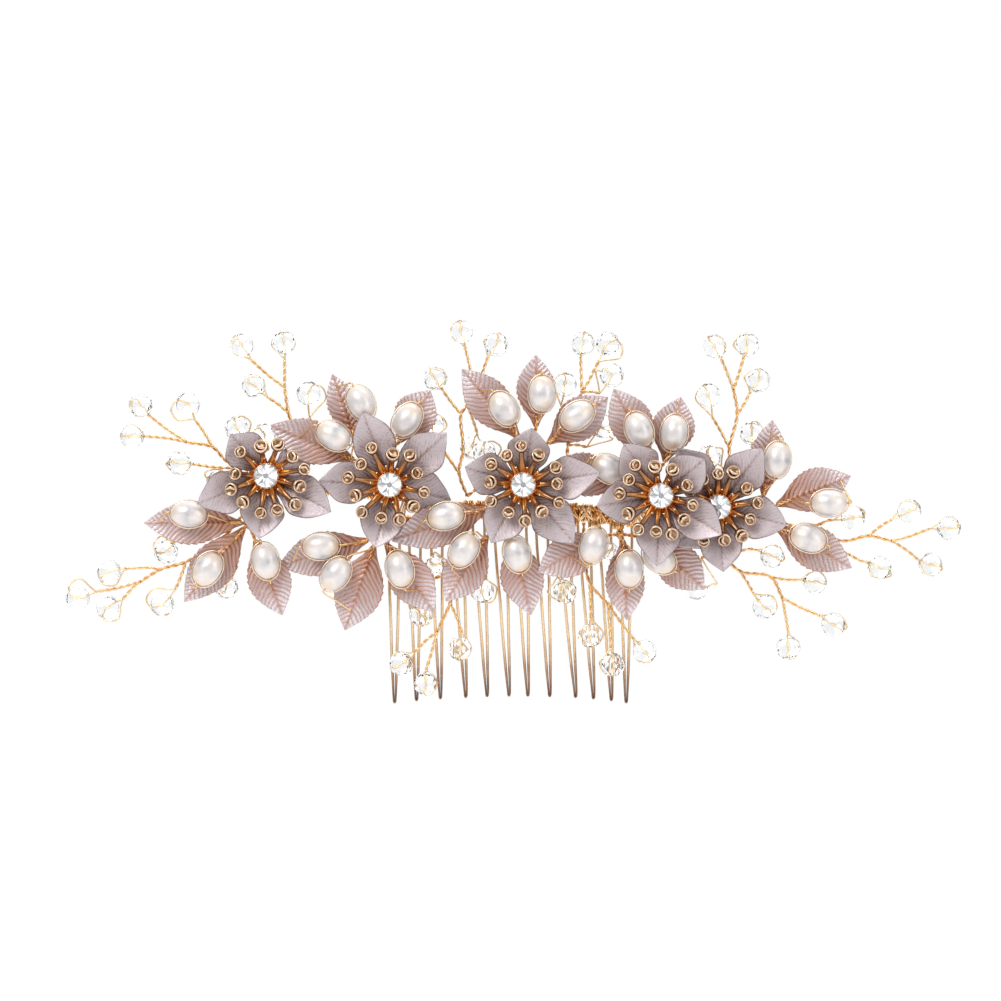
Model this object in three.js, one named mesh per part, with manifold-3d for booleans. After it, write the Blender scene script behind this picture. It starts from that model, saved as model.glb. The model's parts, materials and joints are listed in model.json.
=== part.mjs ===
// Decorative hair comb: a wire comb that carries five flowers, eight three-leaf sprays with
// oval pearls, and ten sprigs of clear crystals on twisted wire. Millimetres, +Z up.
// The origin is the middle of the comb's spine. The teeth point down, and the front faces -Y.
import * as THREE from "three";
import { mergeVertices } from "three/addons/utils/BufferGeometryUtils.js";
import Module from "manifold-3d";

const wasm = await Module();
wasm.setup();

// ---- driving dimensions -------------------------------------------------------------------

// comb
const TOOTH_PITCH = 4.24;
const TOOTH_TIPS_X = [-23.2, -18.8, -14.0, -8.9, -4.6, -0.2, 3.6, 8.0, 13.2, 16.8, 20.4, 23.4];
const TOOTH_LENGTH = 36.4;
const TOOTH_BOW = 2.2;
const LEG_HALF_GAP = 1.15;
const LEG_HALF_GAP_MIDDLE = 0.8;
const LEG_HALF_GAP_TIP = 0.3;
const COMB_WIRE_RADIUS = 0.33;
const SPINE_RADIUS = 0.55;
const SPINE_HALF_LENGTH = 25.2;
const SPINE_ARCH = 1.6;

// binding and backbone
const BINDING_RADIUS = 1.25;
const BINDING_WIRE_RADIUS = 0.25;
const BACKBONE_RADIUS = 0.6;
const BACKBONE_Y = -2.4;
const STEM_Y = -3.8;
const STEM_RADIUS = 0.45;

// flowers
const SHEET_THICKNESS = 0.5;
const PETAL_HALF_WIDTH = 4.35;
const PETAL_START = 1.5;
const PETAL_CUP = 0.9;
const PETAL_CUP_TUCKED = 0.2;
const DISC_RADIUS = 2.6;
const DISC_THICKNESS = 0.8;
const CUP_RADIUS = 2.3;
const CUP_FOOT_RADIUS = 1.84;
const CUP_DEPTH = 2.2;
const PIECE_GAP = 0.35;
const ARM_RADIUS = 0.35;
const BALL_RADIUS = 1.25;
const STONE_RADIUS = 2.35;
const STONE_HEIGHT = 1.7;
const STONE_GIRDLE_SHARE = 0.55;
const STONE_TABLE_SHARE = 0.6;

// leaves and pearls
const LEAF_HALF_WIDTH = 4.4;
const LEAF_CUP = 0.15;
const PETIOLE_RADIUS = 0.4;
const PETIOLE_INLET = 0.12;
const PEARL_RADIUS = 2.65;
const PEARL_HALF_LENGTH = 3.6;
const PEARL_BORE_RADIUS = 0.5;
const PEARL_WIRE_RADIUS = 0.2;
const PEARL_LIFT = 3.25;
const POLE_REACH = 0.75;
// where the pearl's wire leaves the leaf and meets it again, as shares of the leaf's length
const WIRE_BEHIND_PEARL = 0.42;
const WIRE_BEYOND_PEARL = 0.34;
const WIRE_NEAREST = 0.03;
const WIRE_FURTHEST = 0.86;

// crystal sprigs
const TWIST_RADIUS = 0.33;
const LOOP_WIRE_RADIUS = 0.2;
const CRYSTAL_RADIUS = 2.5;

// ---- layout -------------------------------------------------------------------------------
// Flowers: centre [x, y, z], petal tips [x, z, lean] (lean is how far the tip stands in front
// of the centre), stamen arms [angle in degrees from +X, reach], and the balls' rise.
const FLOWERS = [
  {
    centre: [-48.6, -8, 7.8],
    petals: [[-55.8, 16.2, 1.6], [-62.4, 2.2, 2.6], [-50, -4.8, 2.2], [-35.6, 0.6, 2.8], [-40.2, 10.4, -4]],
    arms: [[137, 6.8], [100, 5.8], [69, 6.6], [36, 6.4], [10, 7.6], [-17, 6.9], [-44, 8],
      [-72, 7], [-98, 7.3], [-131, 6.7], [-159, 7.3], [176, 6]],
    rise: 4,
  },
  {
    centre: [-24, -8, 6],
    petals: [[-29.4, 20.6, 2.6], [-12.6, 16.4, 1.2], [-12, 3, -4.6], [-26.8, -6.6, 1.8], [-38.2, 6.8, 0.6]],
    arms: [[116, 8], [84, 6], [55, 7], [23, 5.8], [-12, 6.9], [-42, 6.2], [-74, 7],
      [-104, 6.6], [-135, 7.6], [-163, 6.9], [170, 8.2], [144, 6.9]],
    rise: 4,
  },
  {
    centre: [2.6, -8, 6],
    petals: [[4.4, 17.4, 1.6], [18, 8.4, 2.8], [12.8, -5.6, 1.6], [-3.8, -5.6, 2], [-9, 9.6, 1.4]],
    arms: [[93, 7.6], [63, 6.5], [28, 7.2], [2, 6.6], [-26, 7.8], [-55, 6.3], [-87, 7],
      [-118, 6], [-153, 7], [175, 6.4], [147, 7.4], [119, 6.6]],
    rise: 4,
  },
  {
    centre: [30, -10, 3.8],
    petals: [[22.6, 14.2, 1.4], [38.8, 11.2, 2.6], [42.2, -4, 2.8], [29.2, -10.2, 1.8], [17.2, 1.8, 1]],
    arms: [[130, 7.8], [102, 5.8], [66, 5.6], [22, 5.4], [-16, 6.4], [-46, 6.4], [-74, 7.7],
      [-98, 7], [-124, 7.9], [-152, 7.2], [177, 8.1], [153, 7]],
    rise: 4,
  },
  {
    centre: [41.6, -6, 1.6],
    petals: [[50.4, 13.4, 3.2], [55.4, -2, 1.6], [42.6, -11.4, 1.8], [33.4, 13.4, 3], [33, -6, -1]],
    arms: [[91, 6.4], [67, 7.4], [33, 6.6], [6, 7.7], [-21, 6.6], [-51, 7.2], [-80, 6.5],
      [-114, 7.2], [-147, 6.4], [178, 6.2], [150, 6.4], [120, 6.2]],
    rise: 3.7,
  },
];

// The backbone's route behind the flowers, as [x, z].
const BACKBONE = [[-49, 4.6], [-36, 4.8], [-24, 3.6], [-12, 2.2], [0, 1.8], [12, 1.6], [24, 0.6], [43, 0]];

// Leaf sprays: hub and tail end [x, y, z], and for each leaf its base and tip [x, y, z],
// its pearl's centre [x, z] and the angle of the pearl's long axis in degrees from +X.
const SPRAYS = [
  {
    hub: [-52.4, -4.6, -1.8], tail: [-49.6, -3.2, 3.1],
    leaves: [
      { base: [-53.6, -4.6, -1.6], tip: [-73.2, -4.6, -1.6], pearl: [-64.2, 0.2], angle: -5 },
      { base: [-53.2, -4.6, -2.6], tip: [-65.2, -4.6, -17.4], pearl: [-60.4, -10.8], angle: 57 },
      { base: [-51, -5.2, -5], tip: [-45.6, -6, -20], pearl: [-48.8, -9.2], angle: 103 },
    ],
  },
  {
    hub: [-26, -4.8, -4.2], tail: [-23, -3.2, 2],
    leaves: [
      { base: [-28.4, -4.6, -5], tip: [-46.4, -4.2, -10.2], pearl: [-37.8, -6.2], angle: 3 },
      { base: [-27.2, -5, -6.2], tip: [-33, -6, -23], pearl: [-34.8, -11.8], angle: 55, width: 4.9 },
      { base: [-24.8, -5.4, -5.8], tip: [-15.2, -7, -19.4], pearl: [-22, -10.8], angle: 105 },
    ],
  },
  {
    hub: [-27, -4.4, 10.6], tail: [-26, -3.4, 5.3],
    leaves: [
      { base: [-31.2, -6, 11], tip: [-47.8, -6.8, 18], pearl: [-35.2, 15.8], angle: -30 },
      { base: [-31, -3.8, 15], tip: [-35.6, -3.6, 28.2], pearl: [-29.8, 22.4], angle: -65, width: 3.2 },
      { base: [-22.2, -3.8, 14.6], tip: [-16, -3.6, 25], pearl: [-20.6, 19], angle: 55 },
    ],
  },
  {
    hub: [4.2, -4.6, 14.2], tail: [6.6, -3.4, 3.3],
    leaves: [
      { base: [1.8, -4.6, 15.4], tip: [-9.6, -4.8, 29.2], pearl: [-1.2, 21.2], angle: -57 },
      { base: [5.2, -4.6, 17.6], tip: [5.2, -4.6, 32], pearl: [6.4, 24.2], angle: 88, width: 4 },
      { base: [7.6, -4.6, 14.4], tip: [19.6, -4.2, 23.6], pearl: [13.4, 19.8], angle: 35 },
    ],
  },
  {
    hub: [-2, -5.2, -2.8], tail: [-1.4, -3.2, 0.4],
    leaves: [
      { base: [-4, -6.4, 1.4], tip: [-23.6, -6.6, -5.2], pearl: [-12.8, -0.2], angle: 12 },
      { base: [-4.6, -5.8, -4.4], tip: [-12.8, -7.4, -17.2], pearl: [-9.2, -7], angle: 57 },
      { base: [0.4, -4.8, -4], tip: [4.2, -4.4, -20], pearl: [1.4, -7.8], angle: 105 },
    ],
  },
  {
    hub: [22, -5, -3.8], tail: [23, -3.2, -0.6],
    leaves: [
      { base: [19.2, -5.4, -4.2], tip: [5.6, -6, -11.4], pearl: [16.7, -6.1], angle: 75 },
      { base: [22.6, -5, -5], tip: [23.4, -5.6, -21], pearl: [23.8, -10.8], angle: 90, width: 4 },
      { base: [28.2, -4.2, -5], tip: [39, -3.8, -15], pearl: [29.8, -8.6], angle: -40 },
    ],
  },
  {
    hub: [28.4, -4, 8], tail: [26.4, -3.4, 1.9],
    leaves: [
      { base: [23.6, -3.7, 6], tip: [7.6, -3.6, 10], pearl: [19.8, 9.2], angle: -30 },
      { base: [28, -4.4, 11.4], tip: [20.8, -5.4, 25.2], pearl: [25.8, 17], angle: -65 },
      { base: [31, -4, 10.6], tip: [34.2, -3.8, 23.6], pearl: [32.8, 16.4], angle: 80 },
    ],
  },
  {
    hub: [51, -3.8, 1], tail: [44.2, -2.6, 0.2],
    leaves: [
      { base: [50.8, -3.4, 3.8], tip: [52.6, -3.4, 19], pearl: [53.4, 11], angle: 82, width: 3.8 },
      { base: [53.4, -4.2, 2], tip: [68.2, -4.6, 7.8], pearl: [63.8, 2.4], angle: 0 },
      { base: [53.2, -4.2, -2.4], tip: [68.4, -4.6, -10.6], pearl: [59.6, -4.6], angle: -20 },
    ],
  },
];

// Crystal sprigs. A stem is a route of twisted wire, [x, y, z] points. A crystal names where
// its twist starts and ends, the far end of its wire loop, and the bead's centre, all [x, y, z].
function crystal(from, to, far, bead, size = CRYSTAL_RADIUS) {
  return { from, to, far, bead, size };
}

const SPRIGS = [
  {
    stems: [
      [[-51.6, -1.4, 3], [-57, -1.6, -4], [-65, -2, -9.4], [-69.8, -2.2, -10.8], [-74.2, -2.4, -13.4]],
      [[-56, -1.6, -3], [-61, -2.2, -4.4], [-66, -2.6, -5.2]],
    ],
    crystals: [
      crystal([-69.8, -2.2, -10.8], [-77.2, -2.8, -10.8], [-82, -3, -13.4], [-80.4, -3, -11.4]),
      crystal([-74.2, -2.4, -13.4], [-83, -3.4, -15.4], [-88.4, -3.6, -14.6], [-86.6, -4, -16.6]),
      crystal([-74.2, -2.4, -13.4], [-77.8, -1.4, -17], [-81.4, -1, -21], [-80.8, -0.2, -18.6]),
      crystal([-65, -2, -9.4], [-67.2, -1.2, -15], [-72.8, -1, -17.8], [-69.8, -1, -18]),
      crystal([-66, -2.6, -5.2], [-67.4, -2.6, -5.6], [-71.4, -2.6, -6.8], [-69, -1.6, -7.4]),
      crystal([-57, -1.6, -4], [-54.8, -1.4, -10.6], [-57.6, -1.2, -15.4], [-57, -1, -14.4]),
    ],
  },
  {
    stems: [
      [[-51.2, -2, 8.4], [-56.8, -2.6, 10.8], [-59.6, -3, 13.6], [-64.8, -3.2, 14.6]],
      [[-51.2, -2, 8.4], [-52, -2.2, 12]],
    ],
    crystals: [
      crystal([-59.6, -3, 13.6], [-63.2, -3, 19.2], [-67.6, -3, 22.2], [-64.6, -2.6, 22.2]),
      crystal([-64.8, -3.2, 14.6], [-72.6, -4, 20.2], [-75.2, -4.4, 22.8], [-74, -4.4, 22]),
      crystal([-64.8, -3.2, 14.6], [-73.4, -2.6, 15.8], [-77.8, -2.4, 16.4], [-75.8, -2.4, 15.8]),
      crystal([-54, -2.2, 9.4], [-63.6, -1.4, 10.2], [-69, -1.2, 10.4], [-66.4, -1.2, 10.4]),
      crystal([-54, -2.2, 9.4], [-56.4, -2, 6.4], [-61.2, -2, 8.2], [-58.6, -0.4, 6.6]),
      crystal([-52, -2.2, 12], [-52.8, -2.2, 15], [-54.6, -2.2, 19.8], [-54.8, -2.2, 17.4]),
      crystal([-52, -2.2, 12], [-48.4, -1, 13.2], [-50.6, -1, 17.2], [-49.4, -0.8, 16]),
    ],
  },
  {
    stems: [
      [[-41.6, -2, 9], [-42.6, -2.2, 15], [-44.4, -2.4, 20.4], [-45.2, -2.6, 25.6]],
    ],
    crystals: [
      crystal([-44.4, -2.4, 20.4], [-48.6, -2.8, 23.6], [-52.2, -3, 27], [-51.4, -3, 26]),
      crystal([-45.2, -2.6, 25.6], [-51.8, -3.4, 31], [-54.8, -3.6, 35], [-53.8, -3.6, 34]),
      crystal([-45.2, -2.6, 25.6], [-45.2, -1.6, 31.2], [-46.4, -1.4, 36.4], [-45.4, -1.4, 34.6]),
      crystal([-42.6, -2.2, 15], [-40.2, -2, 19.6], [-38.4, -2, 26], [-40.4, -2, 24.4]),
    ],
  },
  {
    stems: [
      [[-8.6, -2, 3.8], [-10.2, -2.2, 8.4], [-9.4, -2.4, 13],
        [-9.8, -2.6, 20.2], [-8.6, -2.4, 22], [-7, -2.2, 25]],
      [[-10.2, -2.2, 8.4], [-13, -1.6, 12.4]],
      [[-8.6, -2, 3.8], [-4, -2.2, 7.2]],
    ],
    crystals: [
      crystal([-13, -1.6, 12.4], [-15, -0.6, 15.4], [-14.4, 0, 20], [-15.6, 0.2, 18.2]),
      crystal([-9.8, -2.6, 20.2], [-14, -3, 25.8], [-15.6, -3.2, 29], [-15, -3.2, 27.4]),
      crystal([-7, -2.2, 25], [-9, -1.4, 33.6], [-10.4, -1.2, 38.6], [-9.8, -1.2, 36.8]),
      crystal([-7, -2.2, 25], [-4.4, -3.2, 31.6], [-2.8, -3.6, 36], [-2.8, -3.6, 34.2]),
      crystal([-8.6, -2.4, 22], [-6.6, 1.4, 16.4], [-8, 2.4, 12], [-7.6, 2.4, 13.6]),
      crystal([-4, -2.2, 7.2], [-3.2, -2.8, 10.2], [-4.2, -3.2, 14.8], [-5.2, -3.4, 12.6]),
    ],
  },
  {
    stems: [
      [[11.6, -2.2, 3.2], [11.6, -2.2, 14], [12.8, -2.4, 20], [14.4, -2.6, 24.6]],
    ],
    crystals: [
      crystal([14.4, -2.6, 24.6], [14.2, -2.6, 31.8], [15.4, -2.6, 36.4], [14.6, -2.6, 34.4]),
      crystal([14.4, -2.6, 24.6], [17.8, -1, 30.8], [22.2, -0.4, 34.4], [19.6, -0.2, 34.4]),
      crystal([14.4, -2.6, 24.6], [18, -2.6, 24.4], [19.4, -3, 29], [20.4, -3, 28]),
      crystal([12.8, -2.4, 20], [10.2, -1.8, 22], [10.6, -1.6, 28], [11, -1.4, 26.2]),
      crystal([11.6, -2.2, 14], [15.4, -1.4, 13.6], [19.6, -1, 17], [18.6, -1, 17.8]),
    ],
  },
  {
    stems: [
      [[44.2, -1.8, 1.6], [44.2, -2, 8], [44, -2.2, 13.4], [45.6, -2.2, 20.2], [44.8, -2.4, 25.2]],
      [[44.2, -2, 8], [48, -1.2, 10]],
    ],
    crystals: [
      crystal([44, -2.2, 13.4], [40.6, -2.6, 19.6], [38.4, -2.8, 25.6], [39.8, -2.8, 24]),
      crystal([45.6, -2.2, 20.2], [48.2, -2.2, 24.6], [49.4, -2.2, 29], [49.8, -2.2, 27]),
      crystal([44.8, -2.4, 25.2], [42.4, -3, 31.2], [40.2, -3.2, 35.6], [41, -3.2, 33.8]),
      crystal([44.8, -2.4, 25.2], [47, -1.4, 31.8], [46.6, -1.2, 36.2], [47.6, -1.2, 34.2]),
      crystal([44.2, -2, 8], [42.4, -1.2, 9.8], [40.2, -1, 13.4], [39.9, -1, 11.6]),
      crystal([48, -1.2, 10], [48.8, -0.4, 12.8], [49.2, -0.2, 18.8], [48.6, -0.2, 16.4]),
    ],
  },
  {
    stems: [
      [[52, -1.6, -0.6], [58, -1.8, -2.6], [67, -2, -5.2], [72, -2.2, -4.2], [76.6, -2.4, -5.2]],
      [[58, -1.8, -2.6], [62.4, -1.8, -1.8]],
      [[58, -1.8, -2.6], [64, -1.6, -6.2], [68.2, -1.6, -8]],
    ],
    crystals: [
      crystal([72, -2.2, -4.2], [76.4, -3.2, -1], [81.2, -3.6, 1.6], [80, -3.6, 0.8]),
      crystal([76.6, -2.4, -5.2], [84, -2.4, -2.8], [89.6, -2.4, -2.2], [88, -2.4, -2.6]),
      crystal([76.6, -2.4, -5.2], [82.4, -1.4, -9.4], [86.8, -1.2, -10.8], [84.4, -1.2, -10]),
      crystal([68.2, -1.6, -8], [72, -1.2, -9.6], [76.6, -1, -12], [74.2, -1, -10.6]),
      crystal([62.4, -1.8, -1.8], [65, -2, -1], [71.2, -2.2, 0.4], [68.8, -2.2, -0.6]),
    ],
  },
  {
    stems: [
      [[41.6, -2, -1.6], [42.4, -2.2, -7], [46, -2.6, -11.2], [52.2, -2.8, -12.4], [54.6, -2.8, -16.6]],
      [[42.4, -2.2, -7], [46.4, -2, -7.2]],
    ],
    crystals: [
      crystal([46, -2.6, -11.2], [48.8, -3.4, -15.8], [53.2, -3.8, -19.2], [51, -3.8, -18.4]),
      crystal([52.2, -2.8, -12.4], [58, -1.8, -13], [63.2, -1.4, -13.4], [61.2, -1.4, -13.4]),
      crystal([54.6, -2.8, -16.6], [55.8, -2.4, -23.6], [56.6, -2.2, -28.8], [55.8, -2.2, -26.6]),
      crystal([54.6, -2.8, -16.6], [62.2, -3, -20.2], [67.4, -3.2, -22.8], [64.8, -3.2, -22]),
      crystal([46.4, -2, -7.2], [49.4, -1.8, -7], [55, -1.6, -9], [52.6, -1.6, -8.2]),
      crystal([42.4, -2.2, -7], [38.4, -1.4, -8.6], [39.4, -1, -14.6], [37.4, -0.8, -14.6]),
    ],
  },
  {
    stems: [
      [[-8.8, -3.2, -3.4], [-10.4, -3.2, -11], [-12, -3, -17.6], [-14.6, -3, -23.4]],
      [[-10.4, -3.2, -11], [-15.6, -3.4, -13], [-19.8, -3.4, -16.4]],
    ],
    crystals: [
      crystal([-14.6, -3, -23.4], [-19.2, -3.4, -27.6], [-23.8, -3.6, -30.2], [-21.8, -3.6, -29.8]),
      crystal([-14.6, -3, -23.4], [-16.8, -3.6, -31], [-16.6, -3.8, -35.8], [-16.8, -3.8, -33.8]),
      crystal([-12, -3, -17.6], [-9.6, -3.2, -23.6], [-9.8, -3.4, -28.6], [-10, -3.4, -26.8]),
      crystal([-19.8, -3.4, -16.4], [-20.4, -3.4, -17.6], [-17, -3.6, -21.4], [-17.8, -3.6, -20]),
      crystal([-10.4, -3.2, -11], [-5.2, -3.4, -12.6], [-4, -3.6, -17.6], [-5.6, -3.6, -15.2]),
      crystal([-10.4, -3.2, -11], [-12.6, -3.2, -9.2], [-15.8, -3.2, -9.4], [-15, -3.2, -10], 2),
    ],
  },
  {
    stems: [
      [[14.8, -2.6, -1.6], [15, -2.8, -9], [16, -3, -13.6], [19.8, -3.2, -18]],
    ],
    crystals: [
      crystal([15, -2.8, -9], [9.6, -3.2, -12.4], [9.6, -3.4, -17], [11, -3.4, -15.4]),
      crystal([16, -3, -13.6], [16.2, -3.4, -20.6], [17.2, -3.6, -26], [16, -3.6, -24.2]),
      crystal([19.6, -3.2, -17.8], [20.2, -3.6, -26.6], [19.6, -3.8, -32], [20.6, -3.8, -30]),
      crystal([19.6, -3.2, -17.8], [24.8, -3, -24.8], [27.6, -3, -29], [27, -3, -27.4]),
      crystal([15.1, -2.8, -9.6], [17.4, -2.8, -8.2], [20.4, -2.8, -6.4], [19.8, -2.8, -7.2], 1.9),
    ],
  },
];

// ---- materials ----------------------------------------------------------------------------

function finish(color, roughness, metalness) {
  return () => new THREE.MeshStandardMaterial({ color, roughness, metalness });
}

const MATERIALS = {
  comb: finish(0xd9b28c, 0.3, 0.9),
  gold: finish(0xe0aa5a, 0.3, 0.9),
  petal: finish(0xaa9ea3, 0.5, 0.5),
  stamen: finish(0xb0805e, 0.3, 0.9),
  stone: finish(0xeef2f5, 0.05, 0.0),
  leaf: finish(0xba968c, 0.5, 0.5),
  pearl: finish(0xece6e0, 0.25, 0.0),
  crystal: finish(0xe6ecee, 0.08, 0.0),
};

// ---- solids -------------------------------------------------------------------------------

function vector(point) {
  return new THREE.Vector3(...point);
}

function toManifold(geometry) {
  const bare = new THREE.BufferGeometry();
  bare.setAttribute("position", geometry.getAttribute("position").clone());
  if (geometry.index) {
    bare.setIndex(geometry.index.clone());
  }
  const merged = mergeVertices(bare, 1e-5);
  const mesh = new wasm.Mesh({
    numProp: 3,
    vertProperties: new Float32Array(merged.getAttribute("position").array),
    triVerts: new Uint32Array(merged.index.array),
  });
  return new wasm.Manifold(mesh);
}

function toGeometry(manifold) {
  const mesh = manifold.getMesh();
  const geometry = new THREE.BufferGeometry();
  geometry.setAttribute("position", new THREE.BufferAttribute(mesh.vertProperties, 3));
  geometry.setIndex(new THREE.BufferAttribute(mesh.triVerts, 1));
  geometry.computeVertexNormals();
  return geometry;
}

function join(geometries) {
  const solids = geometries.map(toManifold);
  return toGeometry(solids.reduce((whole, solid) => whole.add(solid)));
}

function polygon(radius, sides) {
  const shape = new THREE.Shape();
  for (let i = 0; i < sides; i += 1) {
    const angle = (2 * Math.PI * i) / sides;
    const point = [radius * Math.cos(angle), radius * Math.sin(angle)];
    if (i === 0) {
      shape.moveTo(...point);
    } else {
      shape.lineTo(...point);
    }
  }
  shape.closePath();
  return shape;
}

function tube(points, radius, sides, steps) {
  const extrudePath = new THREE.CatmullRomCurve3(points, false, "centripetal");
  return new THREE.ExtrudeGeometry(polygon(radius, sides), { extrudePath, steps });
}

// A pointed sheet-metal blade from base to tip. Its edges stand `cup` in front of its middle.
function blade(base, tip, profile, halfWidth, cup) {
  const along = tip.clone().sub(base);
  const length = along.length();
  along.normalize();
  const front = new THREE.Vector3(0, -1, 0);
  const across = front.clone().cross(along).normalize();
  const normal = along.clone().cross(across).normalize();
  const shape = new THREE.Shape();
  shape.moveTo(length * profile[0][0], -halfWidth * profile[0][1]);
  profile.slice(1).forEach(([t, w]) => shape.lineTo(length * t, -halfWidth * w));
  shape.lineTo(length, 0);
  [...profile].reverse().forEach(([t, w]) => shape.lineTo(length * t, halfWidth * w));
  shape.closePath();
  const geometry = new THREE.ExtrudeGeometry(shape, { depth: SHEET_THICKNESS, bevelEnabled: false });
  geometry.translate(0, 0, -SHEET_THICKNESS / 2);
  const position = geometry.getAttribute("position");
  for (let i = 0; i < position.count; i += 1) {
    const share = Math.abs(position.getY(i)) / halfWidth;
    position.setZ(i, position.getZ(i) + cup * share * share);
  }
  geometry.applyMatrix4(new THREE.Matrix4().makeBasis(along, across, normal).setPosition(base));
  return geometry;
}

const PETAL_PROFILE = [[0, 0.24], [0.38, 0.8], [0.6, 1], [0.78, 0.8], [0.91, 0.42]];
const LEAF_PROFILE = [[0, 0.1], [0.2, 0.5], [0.45, 1], [0.65, 0.94], [0.85, 0.5]];

// ---- comb ---------------------------------------------------------------------------------

function spineHeight(x) {
  return -SPINE_ARCH * (x / SPINE_HALF_LENGTH) ** 2;
}

function combWire() {
  const spine = [-1, -0.5, 0, 0.5, 1].map((share) => {
    const x = share * SPINE_HALF_LENGTH;
    return new THREE.Vector3(x, 0, spineHeight(x));
  });
  const pieces = [tube(spine, SPINE_RADIUS, 6, 8)];
  TOOTH_TIPS_X.forEach((tipX, i) => {
    const rootX = (i - (TOOTH_TIPS_X.length - 1) / 2) * TOOTH_PITCH;
    const middleX = (rootX + tipX) / 2;
    const top = spineHeight(rootX);
    [-1, 1].forEach((side) => {
      const leg = [
        new THREE.Vector3(rootX + side * LEG_HALF_GAP, 0, top),
        new THREE.Vector3(middleX + side * LEG_HALF_GAP_MIDDLE, TOOTH_BOW / 4, top - TOOTH_LENGTH / 2),
        new THREE.Vector3(tipX + side * LEG_HALF_GAP_TIP, TOOTH_BOW, top - TOOTH_LENGTH),
      ];
      pieces.push(tube(leg, COMB_WIRE_RADIUS, 4, 2));
    });
  });
  return join(pieces);
}

// The binding winds round the spine and drops down between each pair of teeth.
function bindingWire() {
  const turns = TOOTH_TIPS_X.length - 2;
  const perTurn = 6;
  const points = [];
  for (let i = 0; i <= turns * perTurn; i += 1) {
    const turn = i / perTurn;
    const eased = turn - Math.sin(2 * Math.PI * turn) / (2 * Math.PI);
    const x = (eased - turns / 2) * TOOTH_PITCH;
    const angle = 2 * Math.PI * turn;
    const y = BINDING_RADIUS * Math.sin(angle);
    const z = spineHeight(x) - BINDING_RADIUS * Math.cos(angle);
    points.push(new THREE.Vector3(x, y, z));
  }
  return tube(points, BINDING_WIRE_RADIUS, 4, turns * perTurn);
}

function backboneHeight(x) {
  const next = Math.max(1, BACKBONE.findIndex(([px]) => px >= x));
  const [x0, z0] = BACKBONE[next - 1];
  const [x1, z1] = BACKBONE[next];
  return z0 + ((z1 - z0) * (x - x0)) / (x1 - x0);
}

function backboneWire() {
  const points = BACKBONE.map(([x, z]) => new THREE.Vector3(x, BACKBONE_Y, z));
  return tube(points, BACKBONE_RADIUS, 6, 14);
}

// ---- flowers ------------------------------------------------------------------------------

function disc(radiusBack, radiusFront, depth, sides, centre) {
  const geometry = new THREE.CylinderGeometry(radiusBack, radiusFront, depth, sides);
  geometry.translate(...centre);
  return geometry;
}

function flowerPetals({ centre, petals }) {
  const [x, y, z] = centre;
  const pieces = [disc(DISC_RADIUS, DISC_RADIUS, DISC_THICKNESS, 8, centre)];
  petals.forEach(([tipX, tipZ, lean]) => {
    const tip = new THREE.Vector3(tipX, y - lean, tipZ);
    const reach = tip.clone().sub(vector(centre)).normalize();
    const base = vector(centre).addScaledVector(reach, PETAL_START);
    const cup = lean > 0 ? PETAL_CUP : PETAL_CUP_TUCKED;
    pieces.push(blade(base, tip, PETAL_PROFILE, PETAL_HALF_WIDTH, cup));
  });
  const stem = [
    new THREE.Vector3(x, y, z),
    new THREE.Vector3(x, STEM_Y - 0.6, z),
    new THREE.Vector3(x, STEM_Y, z - 0.6),
    new THREE.Vector3(x, STEM_Y, backboneHeight(x)),
  ];
  pieces.push(tube(stem, STEM_RADIUS, 4, 4));
  return join(pieces);
}

function flowerStamens({ centre, arms, rise }) {
  const [x, y, z] = centre;
  const back = y - DISC_THICKNESS / 2 - 2 * PIECE_GAP;
  const middle = back - CUP_DEPTH / 2;
  const pieces = [disc(CUP_FOOT_RADIUS, CUP_RADIUS, CUP_DEPTH, 8, [x, middle, z])];
  arms.forEach(([degrees, reach]) => {
    const angle = THREE.MathUtils.degToRad(degrees);
    const out = new THREE.Vector3(Math.cos(angle), 0, Math.sin(angle));
    const start = new THREE.Vector3(x, middle, z).addScaledVector(out, CUP_FOOT_RADIUS);
    const end = new THREE.Vector3(x, y - rise, z).addScaledVector(out, reach);
    pieces.push(tube([start, end], ARM_RADIUS, 3, 1));
    const ball = new THREE.IcosahedronGeometry(BALL_RADIUS, 0);
    ball.translate(end.x, end.y, end.z);
    pieces.push(ball);
  });
  return join(pieces);
}

function flowerRhinestone({ centre }) {
  const [x, y, z] = centre;
  const back = y - DISC_THICKNESS / 2 - 3 * PIECE_GAP - CUP_DEPTH;
  const profile = [
    new THREE.Vector2(0, 0),
    new THREE.Vector2(STONE_RADIUS, -STONE_HEIGHT * STONE_GIRDLE_SHARE),
    new THREE.Vector2(STONE_RADIUS * STONE_TABLE_SHARE, -STONE_HEIGHT),
    new THREE.Vector2(0, -STONE_HEIGHT),
  ].reverse();
  const geometry = new THREE.LatheGeometry(profile, 8);
  geometry.translate(x, back, z);
  return join([geometry]);
}

// ---- leaves and pearls --------------------------------------------------------------------

function pearlPlace({ base, tip, pearl, angle }) {
  const [x, z] = pearl;
  const along = vector(tip).sub(vector(base));
  const share = ((x - base[0]) * along.x + (z - base[2]) * along.z) / (along.x ** 2 + along.z ** 2);
  const sheetY = base[1] + along.y * share;
  const radians = THREE.MathUtils.degToRad(angle);
  return {
    centre: new THREE.Vector3(x, sheetY - PEARL_LIFT, z),
    axis: new THREE.Vector3(Math.cos(radians), 0, Math.sin(radians)),
    share,
  };
}

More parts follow.
